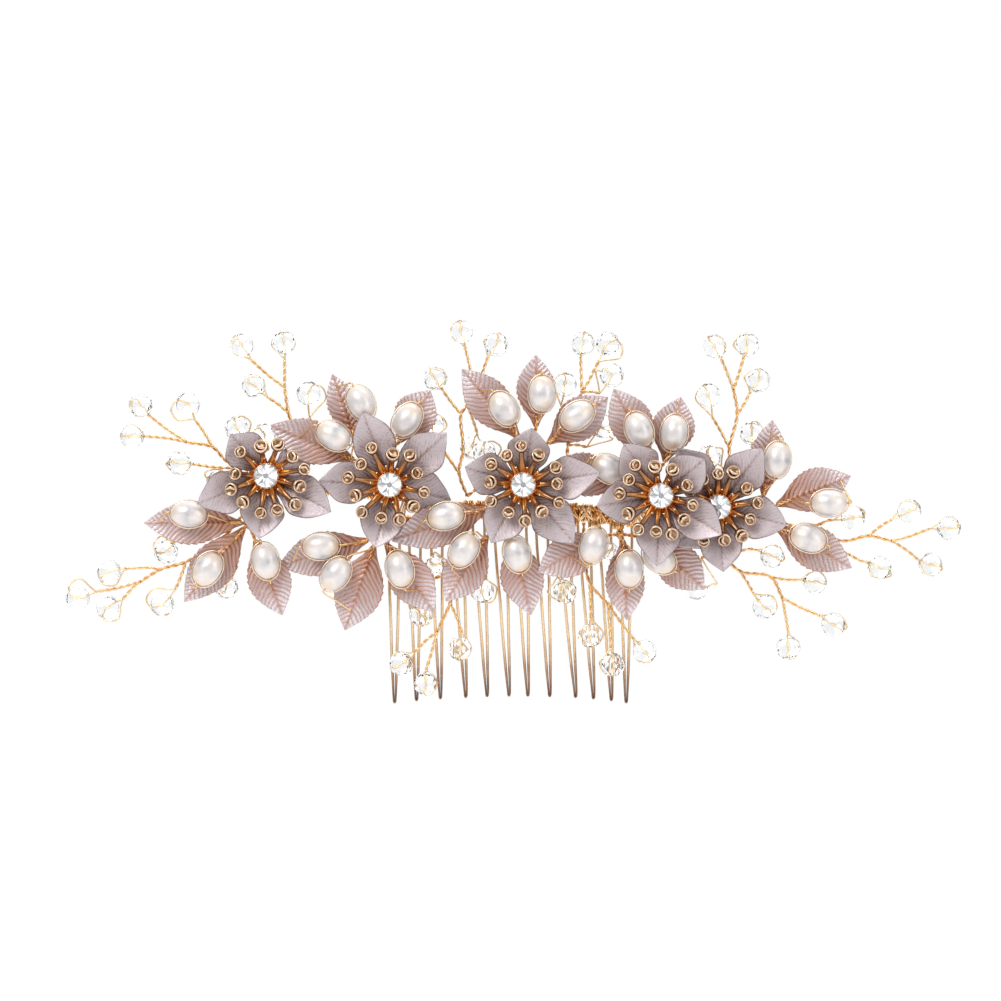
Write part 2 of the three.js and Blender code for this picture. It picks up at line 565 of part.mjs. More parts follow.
// The wire runs from the leaf through the pearl's bore and back to the leaf.
function pearlWire(leaf) {
  const { centre, axis, share } = pearlPlace(leaf);
  const base = vector(leaf.base);
  const tip = vector(leaf.tip);
  const towardsTip = Math.sign(axis.dot(tip.clone().sub(base)));
  const end = axis.clone().multiplyScalar(towardsTip * (PEARL_HALF_LENGTH + POLE_REACH));
  const near = Math.max(WIRE_NEAREST, share - WIRE_BEHIND_PEARL);
  const far = Math.min(WIRE_FURTHEST, share + WIRE_BEYOND_PEARL);
  const points = [
    base.clone().lerp(tip, near),
    centre.clone().sub(end),
    centre.clone().add(end),
    base.clone().lerp(tip, far),
  ];
  return points.slice(1).map((point, i) => tube([points[i], point], PEARL_WIRE_RADIUS, 3, 1));
}

function leafSpray({ hub, tail, leaves }) {
  const pieces = [tube([vector(hub), vector(tail)], PETIOLE_RADIUS, 4, 1)];
  leaves.forEach((leaf) => {
    const base = vector(leaf.base);
    const tip = vector(leaf.tip);
    const inside = base.clone().lerp(tip, PETIOLE_INLET);
    pieces.push(blade(base, tip, LEAF_PROFILE, leaf.width ?? LEAF_HALF_WIDTH, LEAF_CUP));
    pieces.push(tube([vector(hub), inside], PETIOLE_RADIUS, 4, 1));
    pieces.push(...pearlWire(leaf));
  });
  return join(pieces);
}

function pearlBead(leaf) {
  const { centre, axis } = pearlPlace(leaf);
  const rows = [-0.9, -0.42, 0.42, 0.9];
  const pole = PEARL_HALF_LENGTH * 0.96;
  const profile = rows.map((share) => {
    const radius = PEARL_RADIUS * Math.sqrt(1 - share * share);
    return new THREE.Vector2(radius, PEARL_HALF_LENGTH * share);
  });
  profile.unshift(new THREE.Vector2(PEARL_BORE_RADIUS, -pole));
  profile.push(new THREE.Vector2(PEARL_BORE_RADIUS, pole));
  profile.push(profile[0].clone());
  const geometry = new THREE.LatheGeometry(profile, 8);
  geometry.applyQuaternion(new THREE.Quaternion().setFromUnitVectors(new THREE.Vector3(0, 1, 0), axis));
  geometry.translate(centre.x, centre.y, centre.z);
  return join([geometry]);
}

// ---- crystal sprigs -----------------------------------------------------------------------

function crystalBead(centre, axis, radius) {
  const profile = [[0, -0.9], [1, -0.35], [1, 0.35], [0, 0.9]];
  const points = profile.map(([r, h]) => new THREE.Vector2(r * radius, h * radius));
  const geometry = new THREE.LatheGeometry(points, 6);
  geometry.applyQuaternion(new THREE.Quaternion().setFromUnitVectors(new THREE.Vector3(0, 1, 0), axis));
  geometry.translate(centre.x, centre.y, centre.z);
  return geometry;
}

// The twist ends in a wire that runs through the bead to the far end of its loop.
function crystalPieces({ from, to, far, bead, size }) {
  const end = vector(to);
  const tip = vector(far);
  const centre = vector(bead);
  const reach = tip.clone().sub(end).normalize();
  const start = end.clone().addScaledVector(reach, -TWIST_RADIUS);
  return [
    tube([vector(from), end], TWIST_RADIUS, 4, 1),
    tube([start, centre, tip], LOOP_WIRE_RADIUS, 3, 2),
    crystalBead(centre, reach, size),
  ];
}

function crystalSprig({ stems, crystals }) {
  const pieces = stems.map((route) => tube(route.map(vector), TWIST_RADIUS, 4, route.length - 1));
  crystals.forEach((item) => pieces.push(...crystalPieces(item)));
  return join(pieces);
}

// ---- assembly -----------------------------------------------------------------------------

const group = new THREE.Group();

function place(name, geometry, material) {
  const mesh = new THREE.Mesh(geometry, MATERIALS[material]());
  mesh.name = name;
  group.add(mesh);
}

place("comb_wire", combWire(), "comb");
place("binding_wire", bindingWire(), "gold");
place("backbone_wire", backboneWire(), "gold");

FLOWERS.forEach((flower, i) => {
  place(`flower_${i + 1}_petals`, flowerPetals(flower), "petal");
  place(`flower_${i + 1}_stamens`, flowerStamens(flower), "stamen");
  place(`flower_${i + 1}_rhinestone`, flowerRhinestone(flower), "stone");
});

SPRAYS.forEach((spray, i) => {
  place(`leaf_spray_${i + 1}`, leafSpray(spray), "leaf");
  spray.leaves.forEach((leaf, j) => {
    place(`pearl_${i + 1}_${j + 1}`, pearlBead(leaf), "pearl");
  });
});

SPRIGS.forEach((sprig, i) => {
  place(`crystal_sprig_${i + 1}`, crystalSprig(sprig), "crystal");
});

export default group;
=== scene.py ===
import json
import math

import bmesh
import bpy
import numpy as np
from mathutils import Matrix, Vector


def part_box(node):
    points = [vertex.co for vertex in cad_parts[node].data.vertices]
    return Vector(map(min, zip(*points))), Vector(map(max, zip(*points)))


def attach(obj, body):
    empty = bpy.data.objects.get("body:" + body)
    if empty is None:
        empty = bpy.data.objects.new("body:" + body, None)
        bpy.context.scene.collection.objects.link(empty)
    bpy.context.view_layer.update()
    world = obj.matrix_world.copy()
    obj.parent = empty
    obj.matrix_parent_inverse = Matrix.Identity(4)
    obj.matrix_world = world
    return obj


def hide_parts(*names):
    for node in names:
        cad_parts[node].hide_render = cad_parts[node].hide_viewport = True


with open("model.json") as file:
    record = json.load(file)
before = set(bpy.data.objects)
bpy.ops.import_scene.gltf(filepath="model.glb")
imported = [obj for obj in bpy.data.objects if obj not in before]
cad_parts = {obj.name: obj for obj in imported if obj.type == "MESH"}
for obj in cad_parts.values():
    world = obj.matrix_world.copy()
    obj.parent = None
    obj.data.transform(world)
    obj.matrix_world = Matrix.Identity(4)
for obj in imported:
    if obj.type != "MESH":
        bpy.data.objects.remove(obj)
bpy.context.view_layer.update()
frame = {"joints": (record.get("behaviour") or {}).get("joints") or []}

MM = 0.001
FRONT = np.array([0.0, -1.0, 0.0])
HOLDER = "comb"

# ---- sizes, in millimetres ------------------------------

PETAL_HALF_WIDTH = 4.35
PETAL_START = 1.7
PETAL_THICKNESS = 0.3
PETAL_CUP = 0.9
PETAL_CUP_TUCKED = 0.2
PETAL_VEIN_SPACING = 0.66
PETAL_VEIN_RELIEF = 0.13
PETAL_GROOVE_DEPTH = 0.2
PETAL_TIP_LIFT = 0.55
PETAL_GRID = (46, 25)

LEAF_HALF_WIDTH = 4.4
LEAF_THICKNESS = 0.3
LEAF_VEIN_SPACING = 1.15
LEAF_VEIN_RELIEF = 0.26
LEAF_CROSS_SPACING = 0.62
LEAF_CROSS_RELIEF = 0.07
LEAF_TEETH = 13
LEAF_TOOTH_DEPTH = 0.32
LEAF_RIB_HEIGHT = 0.24
LEAF_RIB_WIDTH = 0.3
LEAF_GRID = (92, 29)

HEAD_RADIUS = 1.4
ARM_RADIUS = 0.52
ARM_FOOT_FLARE = 0.36
ARM_FLATNESS = 0.6
CUP_RADIUS = 2.3
STONE_RADIUS = 2.35
STONE_STANDOFF = 3.65
# how far the cup's back stands in front of the petals' disc
CUP_STANDOFF = 1.1
STAMENS_RISE_STEP = 0.7
CLAWS = 8
SEPALS = 10
TABLE_SHARE = 0.24
STAR_SHARE = 0.62

PEARL_RADIUS = 2.65
PEARL_HALF_LENGTH = 3.6
POLE_CLEARANCE = 0.35
POLE_REACH = 0.75
# where the pearl's wire leaves the leaf and meets it again, as shares of the leaf's length
WIRE_BEHIND_PEARL = 0.42
WIRE_BEYOND_PEARL = 0.34
WIRE_NEAREST = 0.03
WIRE_FURTHEST = 0.86

STRAND_RADIUS = 0.175
TWIST_PITCH = 3.2
LOOP_RADIUS = 0.17
THREAD_RADIUS = 0.17
FRAME_WIRE_RADIUS = 0.13
BINDING_WIRE_RADIUS = 0.2
BINDING_TURNS = 84
BINDING_POINTS = 14
LASHING_POINTS = 18
WRAP_RADIUS = 0.82
BACKBONE_STRAND = 0.27
LASHING_WIRE_RADIUS = 0.19
CRYSTAL_RADIUS = 2.5

TOOTH_PITCH = 4.24
TOOTH_TIPS_X = [-23.2, -18.8, -14.0, -8.9, -4.6, -0.2, 3.6, 8.0, 13.2, 16.8, 20.4, 23.4]
TOOTH_LENGTH = 36.4
TOOTH_BOW = 2.2
LEG_HALF_GAP = 1.15
LEG_HALF_GAP_TIP = 0.2
COMB_WIRE_RADIUS = 0.33
SPINE_RADIUS = 0.5
SPINE_HALF_LENGTH = 25.2
SPINE_ARCH = 1.6

BACKBONE_Y = -2.4
STEM_Y = -3.8

# ---- layout, the same as the CAD model's ----------------
# Flowers: petal tips [x, z, lean], stamen arms [angle, reach], and the heads' rise. Each
# flower's centre is worked out from its stone in the frame.

FLOWERS = [
    dict(rise=4,
         petals=[[-55.8, 16.2, 1.6], [-62.4, 2.2, 2.6], [-50, -4.8, 2.2],
                 [-35.6, 0.6, 2.8], [-40.2, 10.4, -4]],
         arms=[[137, 6.8], [100, 5.8], [69, 6.6], [36, 6.4], [10, 7.6], [-17, 6.9], [-44, 8],
               [-72, 7], [-98, 7.3], [-131, 6.7], [-159, 7.3], [176, 6]]),
    dict(rise=4,
         petals=[[-29.4, 20.6, 2.6], [-12.6, 16.4, 1.2], [-12, 3, -4.6],
                 [-26.8, -6.6, 1.8], [-38.2, 6.8, 0.6]],
         arms=[[116, 8], [84, 6], [55, 7], [23, 5.8], [-12, 6.9], [-42, 6.2], [-74, 7],
               [-104, 6.6], [-135, 7.6], [-163, 6.9], [170, 8.2], [144, 6.9]]),
    dict(rise=4,
         petals=[[4.4, 17.4, 1.6], [18, 8.4, 2.8], [12.8, -5.6, 1.6], [-3.8, -5.6, 2], [-9, 9.6, 1.4]],
         arms=[[93, 7.6], [63, 6.5], [28, 7.2], [2, 6.6], [-26, 7.8], [-55, 6.3], [-87, 7],
               [-118, 6], [-153, 7], [175, 6.4], [147, 7.4], [119, 6.6]]),
    dict(rise=4,
         petals=[[22.6, 14.2, 1.4], [38.8, 11.2, 2.6], [42.2, -4, 2.8], [29.2, -10.2, 1.8], [17.2, 1.8, 1]],
         arms=[[130, 7.8], [102, 5.8], [66, 5.6], [22, 5.4], [-16, 6.4], [-46, 6.4], [-74, 7.7],
               [-98, 7], [-124, 7.9], [-152, 7.2], [177, 8.1], [153, 7]]),
    dict(rise=3.7,
         petals=[[50.4, 13.4, 3.2], [55.4, -2, 1.6], [42.6, -11.4, 1.8], [33.4, 13.4, 3], [33, -6, -1]],
         arms=[[91, 6.4], [67, 7.4], [33, 6.6], [6, 7.7], [-21, 6.6], [-51, 7.2], [-80, 6.5],
               [-114, 7.2], [-147, 6.4], [178, 6.2], [150, 6.4], [120, 6.2]]),
]

BACKBONE = [[-49, 4.6], [-36, 4.8], [-24, 3.6], [-12, 2.2], [0, 1.8], [12, 1.6], [24, 0.6], [43, 0]]


# Leaf sprays: hub, tail end, and each leaf's base and tip. The pearls come from the frame.


def leaf(base, tip, width=LEAF_HALF_WIDTH):
    return dict(base=base, tip=tip, width=width)


SPRAYS = [
    dict(hub=[-52.4, -4.6, -1.8], tail=[-49.6, -3.2, 3.1], leaves=[
        leaf([-53.6, -4.6, -1.6], [-73.2, -4.6, -1.6]),
        leaf([-53.2, -4.6, -2.6], [-65.2, -4.6, -17.4]),
        leaf([-51, -5.2, -5], [-45.6, -6, -20])]),
    dict(hub=[-26, -4.8, -4.2], tail=[-23, -3.2, 2], leaves=[
        leaf([-28.4, -4.6, -5], [-46.4, -4.2, -10.2]),
        leaf([-27.2, -5, -6.2], [-33, -6, -23], 4.9),
        leaf([-24.8, -5.4, -5.8], [-15.2, -7, -19.4])]),
    dict(hub=[-27, -4.4, 10.6], tail=[-26, -3.4, 5.3], leaves=[
        leaf([-31.2, -6, 11], [-47.8, -6.8, 18]),
        leaf([-31, -3.8, 15], [-35.6, -3.6, 28.2], 3.2),
        leaf([-22.2, -3.8, 14.6], [-16, -3.6, 25])]),
    dict(hub=[4.2, -4.6, 14.2], tail=[6.6, -3.4, 3.3], leaves=[
        leaf([1.8, -4.6, 15.4], [-9.6, -4.8, 29.2]),
        leaf([5.2, -4.6, 17.6], [5.2, -4.6, 32], 4),
        leaf([7.6, -4.6, 14.4], [19.6, -4.2, 23.6])]),
    dict(hub=[-2, -5.2, -2.8], tail=[-1.4, -3.2, 0.4], leaves=[
        leaf([-4, -6.4, 1.4], [-23.6, -6.6, -5.2]),
        leaf([-4.6, -5.8, -4.4], [-12.8, -7.4, -17.2]),
        leaf([0.4, -4.8, -4], [4.2, -4.4, -20])]),
    dict(hub=[22, -5, -3.8], tail=[23, -3.2, -0.6], leaves=[
        leaf([19.2, -5.4, -4.2], [5.6, -6, -11.4]),
        leaf([22.6, -5, -5], [23.4, -5.6, -21], 4),
        leaf([28.2, -4.2, -5], [39, -3.8, -15])]),
    dict(hub=[28.4, -4, 8], tail=[26.4, -3.4, 1.9], leaves=[
        leaf([23.6, -3.7, 6], [7.6, -3.6, 10]),
        leaf([28, -4.4, 11.4], [20.8, -5.4, 25.2]),
        leaf([31, -4, 10.6], [34.2, -3.8, 23.6])]),
    dict(hub=[51, -3.8, 1], tail=[44.2, -2.6, 0.2], leaves=[
        leaf([50.8, -3.4, 3.8], [52.6, -3.4, 19], 3.8),
        leaf([53.4, -4.2, 2], [68.2, -4.6, 7.8]),
        leaf([53.2, -4.2, -2.4], [68.4, -4.6, -10.6])]),
]

# Sprigs: routes of twisted stems, then crystals as (twist start, loop start, loop end, bead).

SPRIGS = [
    dict(stems=[
        [[-51.6, -1.4, 3], [-57, -1.6, -4], [-65, -2, -9.4], [-69.8, -2.2, -10.8], [-74.2, -2.4, -13.4]],
        [[-56, -1.6, -3], [-61, -2.2, -4.4], [-66, -2.6, -5.2]]],
        crystals=[
        ([-69.8, -2.2, -10.8], [-77.2, -2.8, -10.8], [-82, -3, -13.4], [-80.4, -3, -11.4]),
        ([-74.2, -2.4, -13.4], [-83, -3.4, -15.4], [-88.4, -3.6, -14.6], [-86.6, -4, -16.6]),
        ([-74.2, -2.4, -13.4], [-77.8, -1.4, -17], [-81.4, -1, -21], [-80.8, -0.2, -18.6]),
        ([-65, -2, -9.4], [-67.2, -1.2, -15], [-72.8, -1, -17.8], [-69.8, -1, -18]),
        ([-66, -2.6, -5.2], [-67.4, -2.6, -5.6], [-71.4, -2.6, -6.8], [-69, -1.6, -7.4]),
        ([-57, -1.6, -4], [-54.8, -1.4, -10.6], [-57.6, -1.2, -15.4], [-57, -1, -14.4])]),
    dict(stems=[
        [[-51.2, -2, 8.4], [-56.8, -2.6, 10.8], [-59.6, -3, 13.6], [-64.8, -3.2, 14.6]],
        [[-51.2, -2, 8.4], [-52, -2.2, 12]]],
        crystals=[
        ([-59.6, -3, 13.6], [-63.2, -3, 19.2], [-67.6, -3, 22.2], [-64.6, -2.6, 22.2]),
        ([-64.8, -3.2, 14.6], [-72.6, -4, 20.2], [-75.2, -4.4, 22.8], [-74, -4.4, 22]),
        ([-64.8, -3.2, 14.6], [-73.4, -2.6, 15.8], [-77.8, -2.4, 16.4], [-75.8, -2.4, 15.8]),
        ([-54, -2.2, 9.4], [-63.6, -1.4, 10.2], [-69, -1.2, 10.4], [-66.4, -1.2, 10.4]),
        ([-54, -2.2, 9.4], [-56.4, -2, 6.4], [-61.2, -2, 8.2], [-58.6, -0.4, 6.6]),
        ([-52, -2.2, 12], [-52.8, -2.2, 15], [-54.6, -2.2, 19.8], [-54.8, -2.2, 17.4]),
        ([-52, -2.2, 12], [-48.4, -1, 13.2], [-50.6, -1, 17.2], [-49.4, -0.8, 16])]),
    dict(stems=[
        [[-41.6, -2, 9], [-42.6, -2.2, 15], [-44.4, -2.4, 20.4], [-45.2, -2.6, 25.6]]],
        crystals=[
        ([-44.4, -2.4, 20.4], [-48.6, -2.8, 23.6], [-52.2, -3, 27], [-51.4, -3, 26]),
        ([-45.2, -2.6, 25.6], [-51.8, -3.4, 31], [-54.8, -3.6, 35], [-53.8, -3.6, 34]),
        ([-45.2, -2.6, 25.6], [-45.2, -1.6, 31.2], [-46.4, -1.4, 36.4], [-45.4, -1.4, 34.6]),
        ([-42.6, -2.2, 15], [-40.2, -2, 19.6], [-38.4, -2, 26], [-40.4, -2, 24.4])]),
    dict(stems=[
        [[-8.6, -2, 3.8], [-10.2, -2.2, 8.4], [-9.4, -2.4, 13], [-9.8, -2.6, 20.2],
         [-8.6, -2.4, 22], [-7, -2.2, 25]],
        [[-10.2, -2.2, 8.4], [-13, -1.6, 12.4]],
        [[-8.6, -2, 3.8], [-4, -2.2, 7.2]]],
        crystals=[
        ([-13, -1.6, 12.4], [-15, -0.6, 15.4], [-14.4, 0, 20], [-15.6, 0.2, 18.2]),
        ([-9.8, -2.6, 20.2], [-14, -3, 25.8], [-15.6, -3.2, 29], [-15, -3.2, 27.4]),
        ([-7, -2.2, 25], [-9, -1.4, 33.6], [-10.4, -1.2, 38.6], [-9.8, -1.2, 36.8]),
        ([-7, -2.2, 25], [-4.4, -3.2, 31.6], [-2.8, -3.6, 36], [-2.8, -3.6, 34.2]),
        ([-8.6, -2.4, 22], [-6.6, 1.4, 16.4], [-8, 2.4, 12], [-7.6, 2.4, 13.6]),
        ([-4, -2.2, 7.2], [-3.2, -2.8, 10.2], [-4.2, -3.2, 14.8], [-5.2, -3.4, 12.6])]),
    dict(stems=[
        [[11.6, -2.2, 3.2], [11.6, -2.2, 14], [12.8, -2.4, 20], [14.4, -2.6, 24.6]]],
        crystals=[
        ([14.4, -2.6, 24.6], [14.2, -2.6, 31.8], [15.4, -2.6, 36.4], [14.6, -2.6, 34.4]),
        ([14.4, -2.6, 24.6], [17.8, -1, 30.8], [22.2, -0.4, 34.4], [19.6, -0.2, 34.4]),
        ([14.4, -2.6, 24.6], [18, -2.6, 24.4], [19.4, -3, 29], [20.4, -3, 28]),
        ([12.8, -2.4, 20], [10.2, -1.8, 22], [10.6, -1.6, 28], [11, -1.4, 26.2]),
        ([11.6, -2.2, 14], [15.4, -1.4, 13.6], [19.6, -1, 17], [18.6, -1, 17.8])]),
    dict(stems=[
        [[44.2, -1.8, 1.6], [44.2, -2, 8], [44, -2.2, 13.4], [45.6, -2.2, 20.2], [44.8, -2.4, 25.2]],
        [[44.2, -2, 8], [48, -1.2, 10]]],
        crystals=[
        ([44, -2.2, 13.4], [40.6, -2.6, 19.6], [38.4, -2.8, 25.6], [39.8, -2.8, 24]),
        ([45.6, -2.2, 20.2], [48.2, -2.2, 24.6], [49.4, -2.2, 29], [49.8, -2.2, 27]),
        ([44.8, -2.4, 25.2], [42.4, -3, 31.2], [40.2, -3.2, 35.6], [41, -3.2, 33.8]),
        ([44.8, -2.4, 25.2], [47, -1.4, 31.8], [46.6, -1.2, 36.2], [47.6, -1.2, 34.2]),
        ([44.2, -2, 8], [42.4, -1.2, 9.8], [40.2, -1, 13.4], [39.9, -1, 11.6]),
        ([48, -1.2, 10], [48.8, -0.4, 12.8], [49.2, -0.2, 18.8], [48.6, -0.2, 16.4])]),
    dict(stems=[
        [[52, -1.6, -0.6], [58, -1.8, -2.6], [67, -2, -5.2], [72, -2.2, -4.2], [76.6, -2.4, -5.2]],
        [[58, -1.8, -2.6], [62.4, -1.8, -1.8]],
        [[58, -1.8, -2.6], [64, -1.6, -6.2], [68.2, -1.6, -8]]],
        crystals=[
        ([72, -2.2, -4.2], [76.4, -3.2, -1], [81.2, -3.6, 1.6], [80, -3.6, 0.8]),
        ([76.6, -2.4, -5.2], [84, -2.4, -2.8], [89.6, -2.4, -2.2], [88, -2.4, -2.6]),
        ([76.6, -2.4, -5.2], [82.4, -1.4, -9.4], [86.8, -1.2, -10.8], [84.4, -1.2, -10]),
        ([68.2, -1.6, -8], [72, -1.2, -9.6], [76.6, -1, -12], [74.2, -1, -10.6]),
        ([62.4, -1.8, -1.8], [65, -2, -1], [71.2, -2.2, 0.4], [68.8, -2.2, -0.6])]),
    dict(stems=[
        [[41.6, -2, -1.6], [42.4, -2.2, -7], [46, -2.6, -11.2], [52.2, -2.8, -12.4], [54.6, -2.8, -16.6]],
        [[42.4, -2.2, -7], [46.4, -2, -7.2]]],
        crystals=[
        ([46, -2.6, -11.2], [48.8, -3.4, -15.8], [53.2, -3.8, -19.2], [51, -3.8, -18.4]),
        ([52.2, -2.8, -12.4], [58, -1.8, -13], [63.2, -1.4, -13.4], [61.2, -1.4, -13.4]),
        ([54.6, -2.8, -16.6], [55.8, -2.4, -23.6], [56.6, -2.2, -28.8], [55.8, -2.2, -26.6]),
        ([54.6, -2.8, -16.6], [62.2, -3, -20.2], [67.4, -3.2, -22.8], [64.8, -3.2, -22]),
        ([46.4, -2, -7.2], [49.4, -1.8, -7], [55, -1.6, -9], [52.6, -1.6, -8.2]),
        ([42.4, -2.2, -7], [38.4, -1.4, -8.6], [39.4, -1, -14.6], [37.4, -0.8, -14.6])]),
    dict(stems=[
        [[-8.8, -3.2, -3.4], [-10.4, -3.2, -11], [-12, -3, -17.6], [-14.6, -3, -23.4]],
        [[-10.4, -3.2, -11], [-15.6, -3.4, -13], [-19.8, -3.4, -16.4]]],
        crystals=[
        ([-14.6, -3, -23.4], [-19.2, -3.4, -27.6], [-23.8, -3.6, -30.2], [-21.8, -3.6, -29.8]),
        ([-14.6, -3, -23.4], [-16.8, -3.6, -31], [-16.6, -3.8, -35.8], [-16.8, -3.8, -33.8]),
        ([-12, -3, -17.6], [-9.6, -3.2, -23.6], [-9.8, -3.4, -28.6], [-10, -3.4, -26.8]),
        ([-19.8, -3.4, -16.4], [-20.4, -3.4, -17.6], [-17, -3.6, -21.4], [-17.8, -3.6, -20]),
        ([-10.4, -3.2, -11], [-5.2, -3.4, -12.6], [-4, -3.6, -17.6], [-5.6, -3.6, -15.2]),
        ([-10.4, -3.2, -11], [-12.6, -3.2, -9.2], [-15.8, -3.2, -9.4], [-15, -3.2, -10], 2)]),
    dict(stems=[
        [[14.8, -2.6, -1.6], [15, -2.8, -9], [16, -3, -13.6], [19.8, -3.2, -18]]],
        crystals=[
        ([15, -2.8, -9], [9.6, -3.2, -12.4], [9.6, -3.4, -17], [11, -3.4, -15.4]),
        ([16, -3, -13.6], [16.2, -3.4, -20.6], [17.2, -3.6, -26], [16, -3.6, -24.2]),
        ([19.6, -3.2, -17.8], [20.2, -3.6, -26.6], [19.6, -3.8, -32], [20.6, -3.8, -30]),
        ([19.6, -3.2, -17.8], [24.8, -3, -24.8], [27.6, -3, -29], [27, -3, -27.4]),
        ([15.1, -2.8, -9.6], [17.4, -2.8, -8.2], [20.4, -2.8, -6.4], [19.8, -2.8, -7.2], 1.9)]),
]

# ---- mesh helpers, in millimetres -----------------------


def unit(v):
    v = np.asarray(v, float)
    return v / max(np.linalg.norm(v), 1e-9)


def spoke(angle):
    """The direction at an angle from +X, in the plane that faces the front."""
    return np.array([math.cos(angle), 0, math.sin(angle)])


class Build:
    """Collects the points and faces of one piece. Each point keeps a tone from 0 to 1, which
    its material reads."""

    def __init__(self):
        self.points, self.tones, self.faces, self.flats = [], [], [], []
        self.count = 0

    def add(self, points, faces, tones=0.5, flat=False):
        points = np.asarray(points, float)
        tones = np.broadcast_to(np.asarray(tones, float), (len(points),))
        self.points.append(points)
        self.tones.append(tones)
        self.faces.extend([i + self.count for i in face] for face in faces)
        self.flats.extend([flat] * len(faces))
        self.count += len(points)

    def rings(self, rows, tones, caps=True):
        """Joins an (n, m, 3) array of rings into a tube."""
        n, m = rows.shape[:2]
        faces = []
        for i in range(n - 1):
            for j in range(m):
                k = (j + 1) % m
                faces.append([i * m + j, i * m + k, (i + 1) * m + k, (i + 1) * m + j])
        if caps:
            faces.append(list(range(m))[::-1])
            faces.append([(n - 1) * m + j for j in range(m)])
        tones = np.broadcast_to(np.asarray(tones, float), (n,))
        self.add(rows.reshape(-1, 3), faces, np.repeat(tones, m))

    def make(self, name, material, body, slot, replaces=None):
        mesh = bpy.data.meshes.new(name)
        points = np.concatenate(self.points) * MM
        mesh.from_pydata(points.tolist(), [], self.faces)
        mesh.polygons.foreach_set("use_smooth", [not flat for flat in self.flats])
        tone = mesh.attributes.new("tone", "FLOAT", "POINT")
        tone.data.foreach_set("value", np.concatenate(self.tones))
        fix = bmesh.new()
        fix.from_mesh(mesh)
        bmesh.ops.recalc_face_normals(fix, faces=fix.faces)
        fix.to_mesh(mesh)
        fix.free()
        mesh.update()
        piece = bpy.data.objects.new(name, mesh)
        bpy.context.scene.collection.objects.link(piece)
        mesh.materials.append(material)
        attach(piece, body)
        if replaces:
            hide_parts(replaces)


def smooth_route(points, step):
    """A centripetal Catmull-Rom curve through the points, sampled about every `step`."""
    points = [np.asarray(p, float) for p in points]
    if len(points) == 2:
        count = max(2, int(np.linalg.norm(points[1] - points[0]) / step) + 1)
        return np.array([points[0] + (points[1] - points[0]) * t for t in np.linspace(0, 1, count)])
    ends = [2 * points[0] - points[1]] + points + [2 * points[-1] - points[-2]]
    out = []
    for a, b, c, d in zip(ends, ends[1:], ends[2:], ends[3:]):
        count = max(2, int(np.linalg.norm(c - b) / step) + 1)
        t0, t1 = 0.0, np.linalg.norm(b - a) ** 0.5
        t2 = t1 + np.linalg.norm(c - b) ** 0.5
        t3 = t2 + np.linalg.norm(d - c) ** 0.5
        for t in np.linspace(t1, t2, count, endpoint=False):
            ab = a + (b - a) * (t - t0) / (t1 - t0)
            bc = b + (c - b) * (t - t1) / (t2 - t1)
            cd = c + (d - c) * (t - t2) / (t3 - t2)
            abc = ab + (bc - ab) * (t - t0) / (t2 - t0)
            bcd = bc + (cd - bc) * (t - t1) / (t3 - t1)
            out.append(abc + (bcd - abc) * (t - t1) / (t2 - t1))
    out.append(points[-1])
    return np.array(out)


def frames(route):
    """Tangent and two cross directions at each point of a route, without twisting."""
    tangents = np.gradient(route, axis=0)
    tangents /= np.maximum(np.linalg.norm(tangents, axis=1), 1e-9)[:, None]
    side = np.cross(tangents[0], FRONT)
    if np.linalg.norm(side) < 0.1:
        side = np.cross(tangents[0], [1.0, 0, 0])
    side = unit(side)
    sides = []
    for tangent in tangents:
        side = unit(side - tangent * side.dot(tangent))
        sides.append(side)
    sides = np.array(sides)
    return tangents, sides, np.cross(tangents, sides)


def tube(build, route, radius, sides=6, tones=0.5, squash=1.0):
    route = np.asarray(route, float)
    _, side, up = frames(route)
    radius = np.broadcast_to(np.asarray(radius, float), (len(route),))[:, None]
    rings = []
    for j in range(sides):
        angle = 2 * math.pi * j / sides
        rings.append(route + side * radius * math.cos(angle) + up * radius * squash * math.sin(angle))
    build.rings(np.stack(rings, axis=1), tones)


def arc_lengths(route):
    steps = np.linalg.norm(np.diff(route, axis=0), axis=1)
    return np.concatenate([[0.0], np.cumsum(steps)])


def twist(build, route, strand=STRAND_RADIUS, pitch=TWIST_PITCH, strands=2, phase=0.0, sides=5, spread=1.0,
          tones=0.5):
    """A few strands wound round one another along a route."""
    fine = smooth_route(route, pitch / 9)
    along = arc_lengths(fine)
    _, side, up = frames(fine)
    for k in range(strands):
        angle = (2 * math.pi * along / pitch + phase + 2 * math.pi * k / strands)[:, None]
        offset = strand * spread * (side * np.cos(angle) + up * np.sin(angle))
        tube(build, fine + offset, strand, sides, tones)


def sheet_form(build, front, normal, thickness, tones):
    """A thin closed sheet. `front` is an (n, m, 3) grid and `normal` the side it faces."""
    n, m = front.shape[:2]
    back = front - np.asarray(normal) * thickness
    points = np.concatenate([front.reshape(-1, 3), back.reshape(-1, 3)])
    faces = []
    base = n * m
    for i in range(n - 1):
        for j in range(m - 1):
            a, b, c, d = i * m + j, i * m + j + 1, (i + 1) * m + j + 1, (i + 1) * m + j
            faces.append([a, b, c, d])
            faces.append([base + d, base + c, base + b, base + a])
    rim = [j for j in range(m)] + [i * m + m - 1 for i in range(1, n)]
    rim += [(n - 1) * m + j for j in range(m - 2, -1, -1)] + [i * m for i in range(n - 2, 0, -1)]
    for a, b in zip(rim, rim[1:] + rim[:1]):
        faces.append([a, b, base + b, base + a])
    tones = np.broadcast_to(tones, (n, m)).reshape(-1)
    build.add(points, faces, np.concatenate([tones, tones * 0.85]))


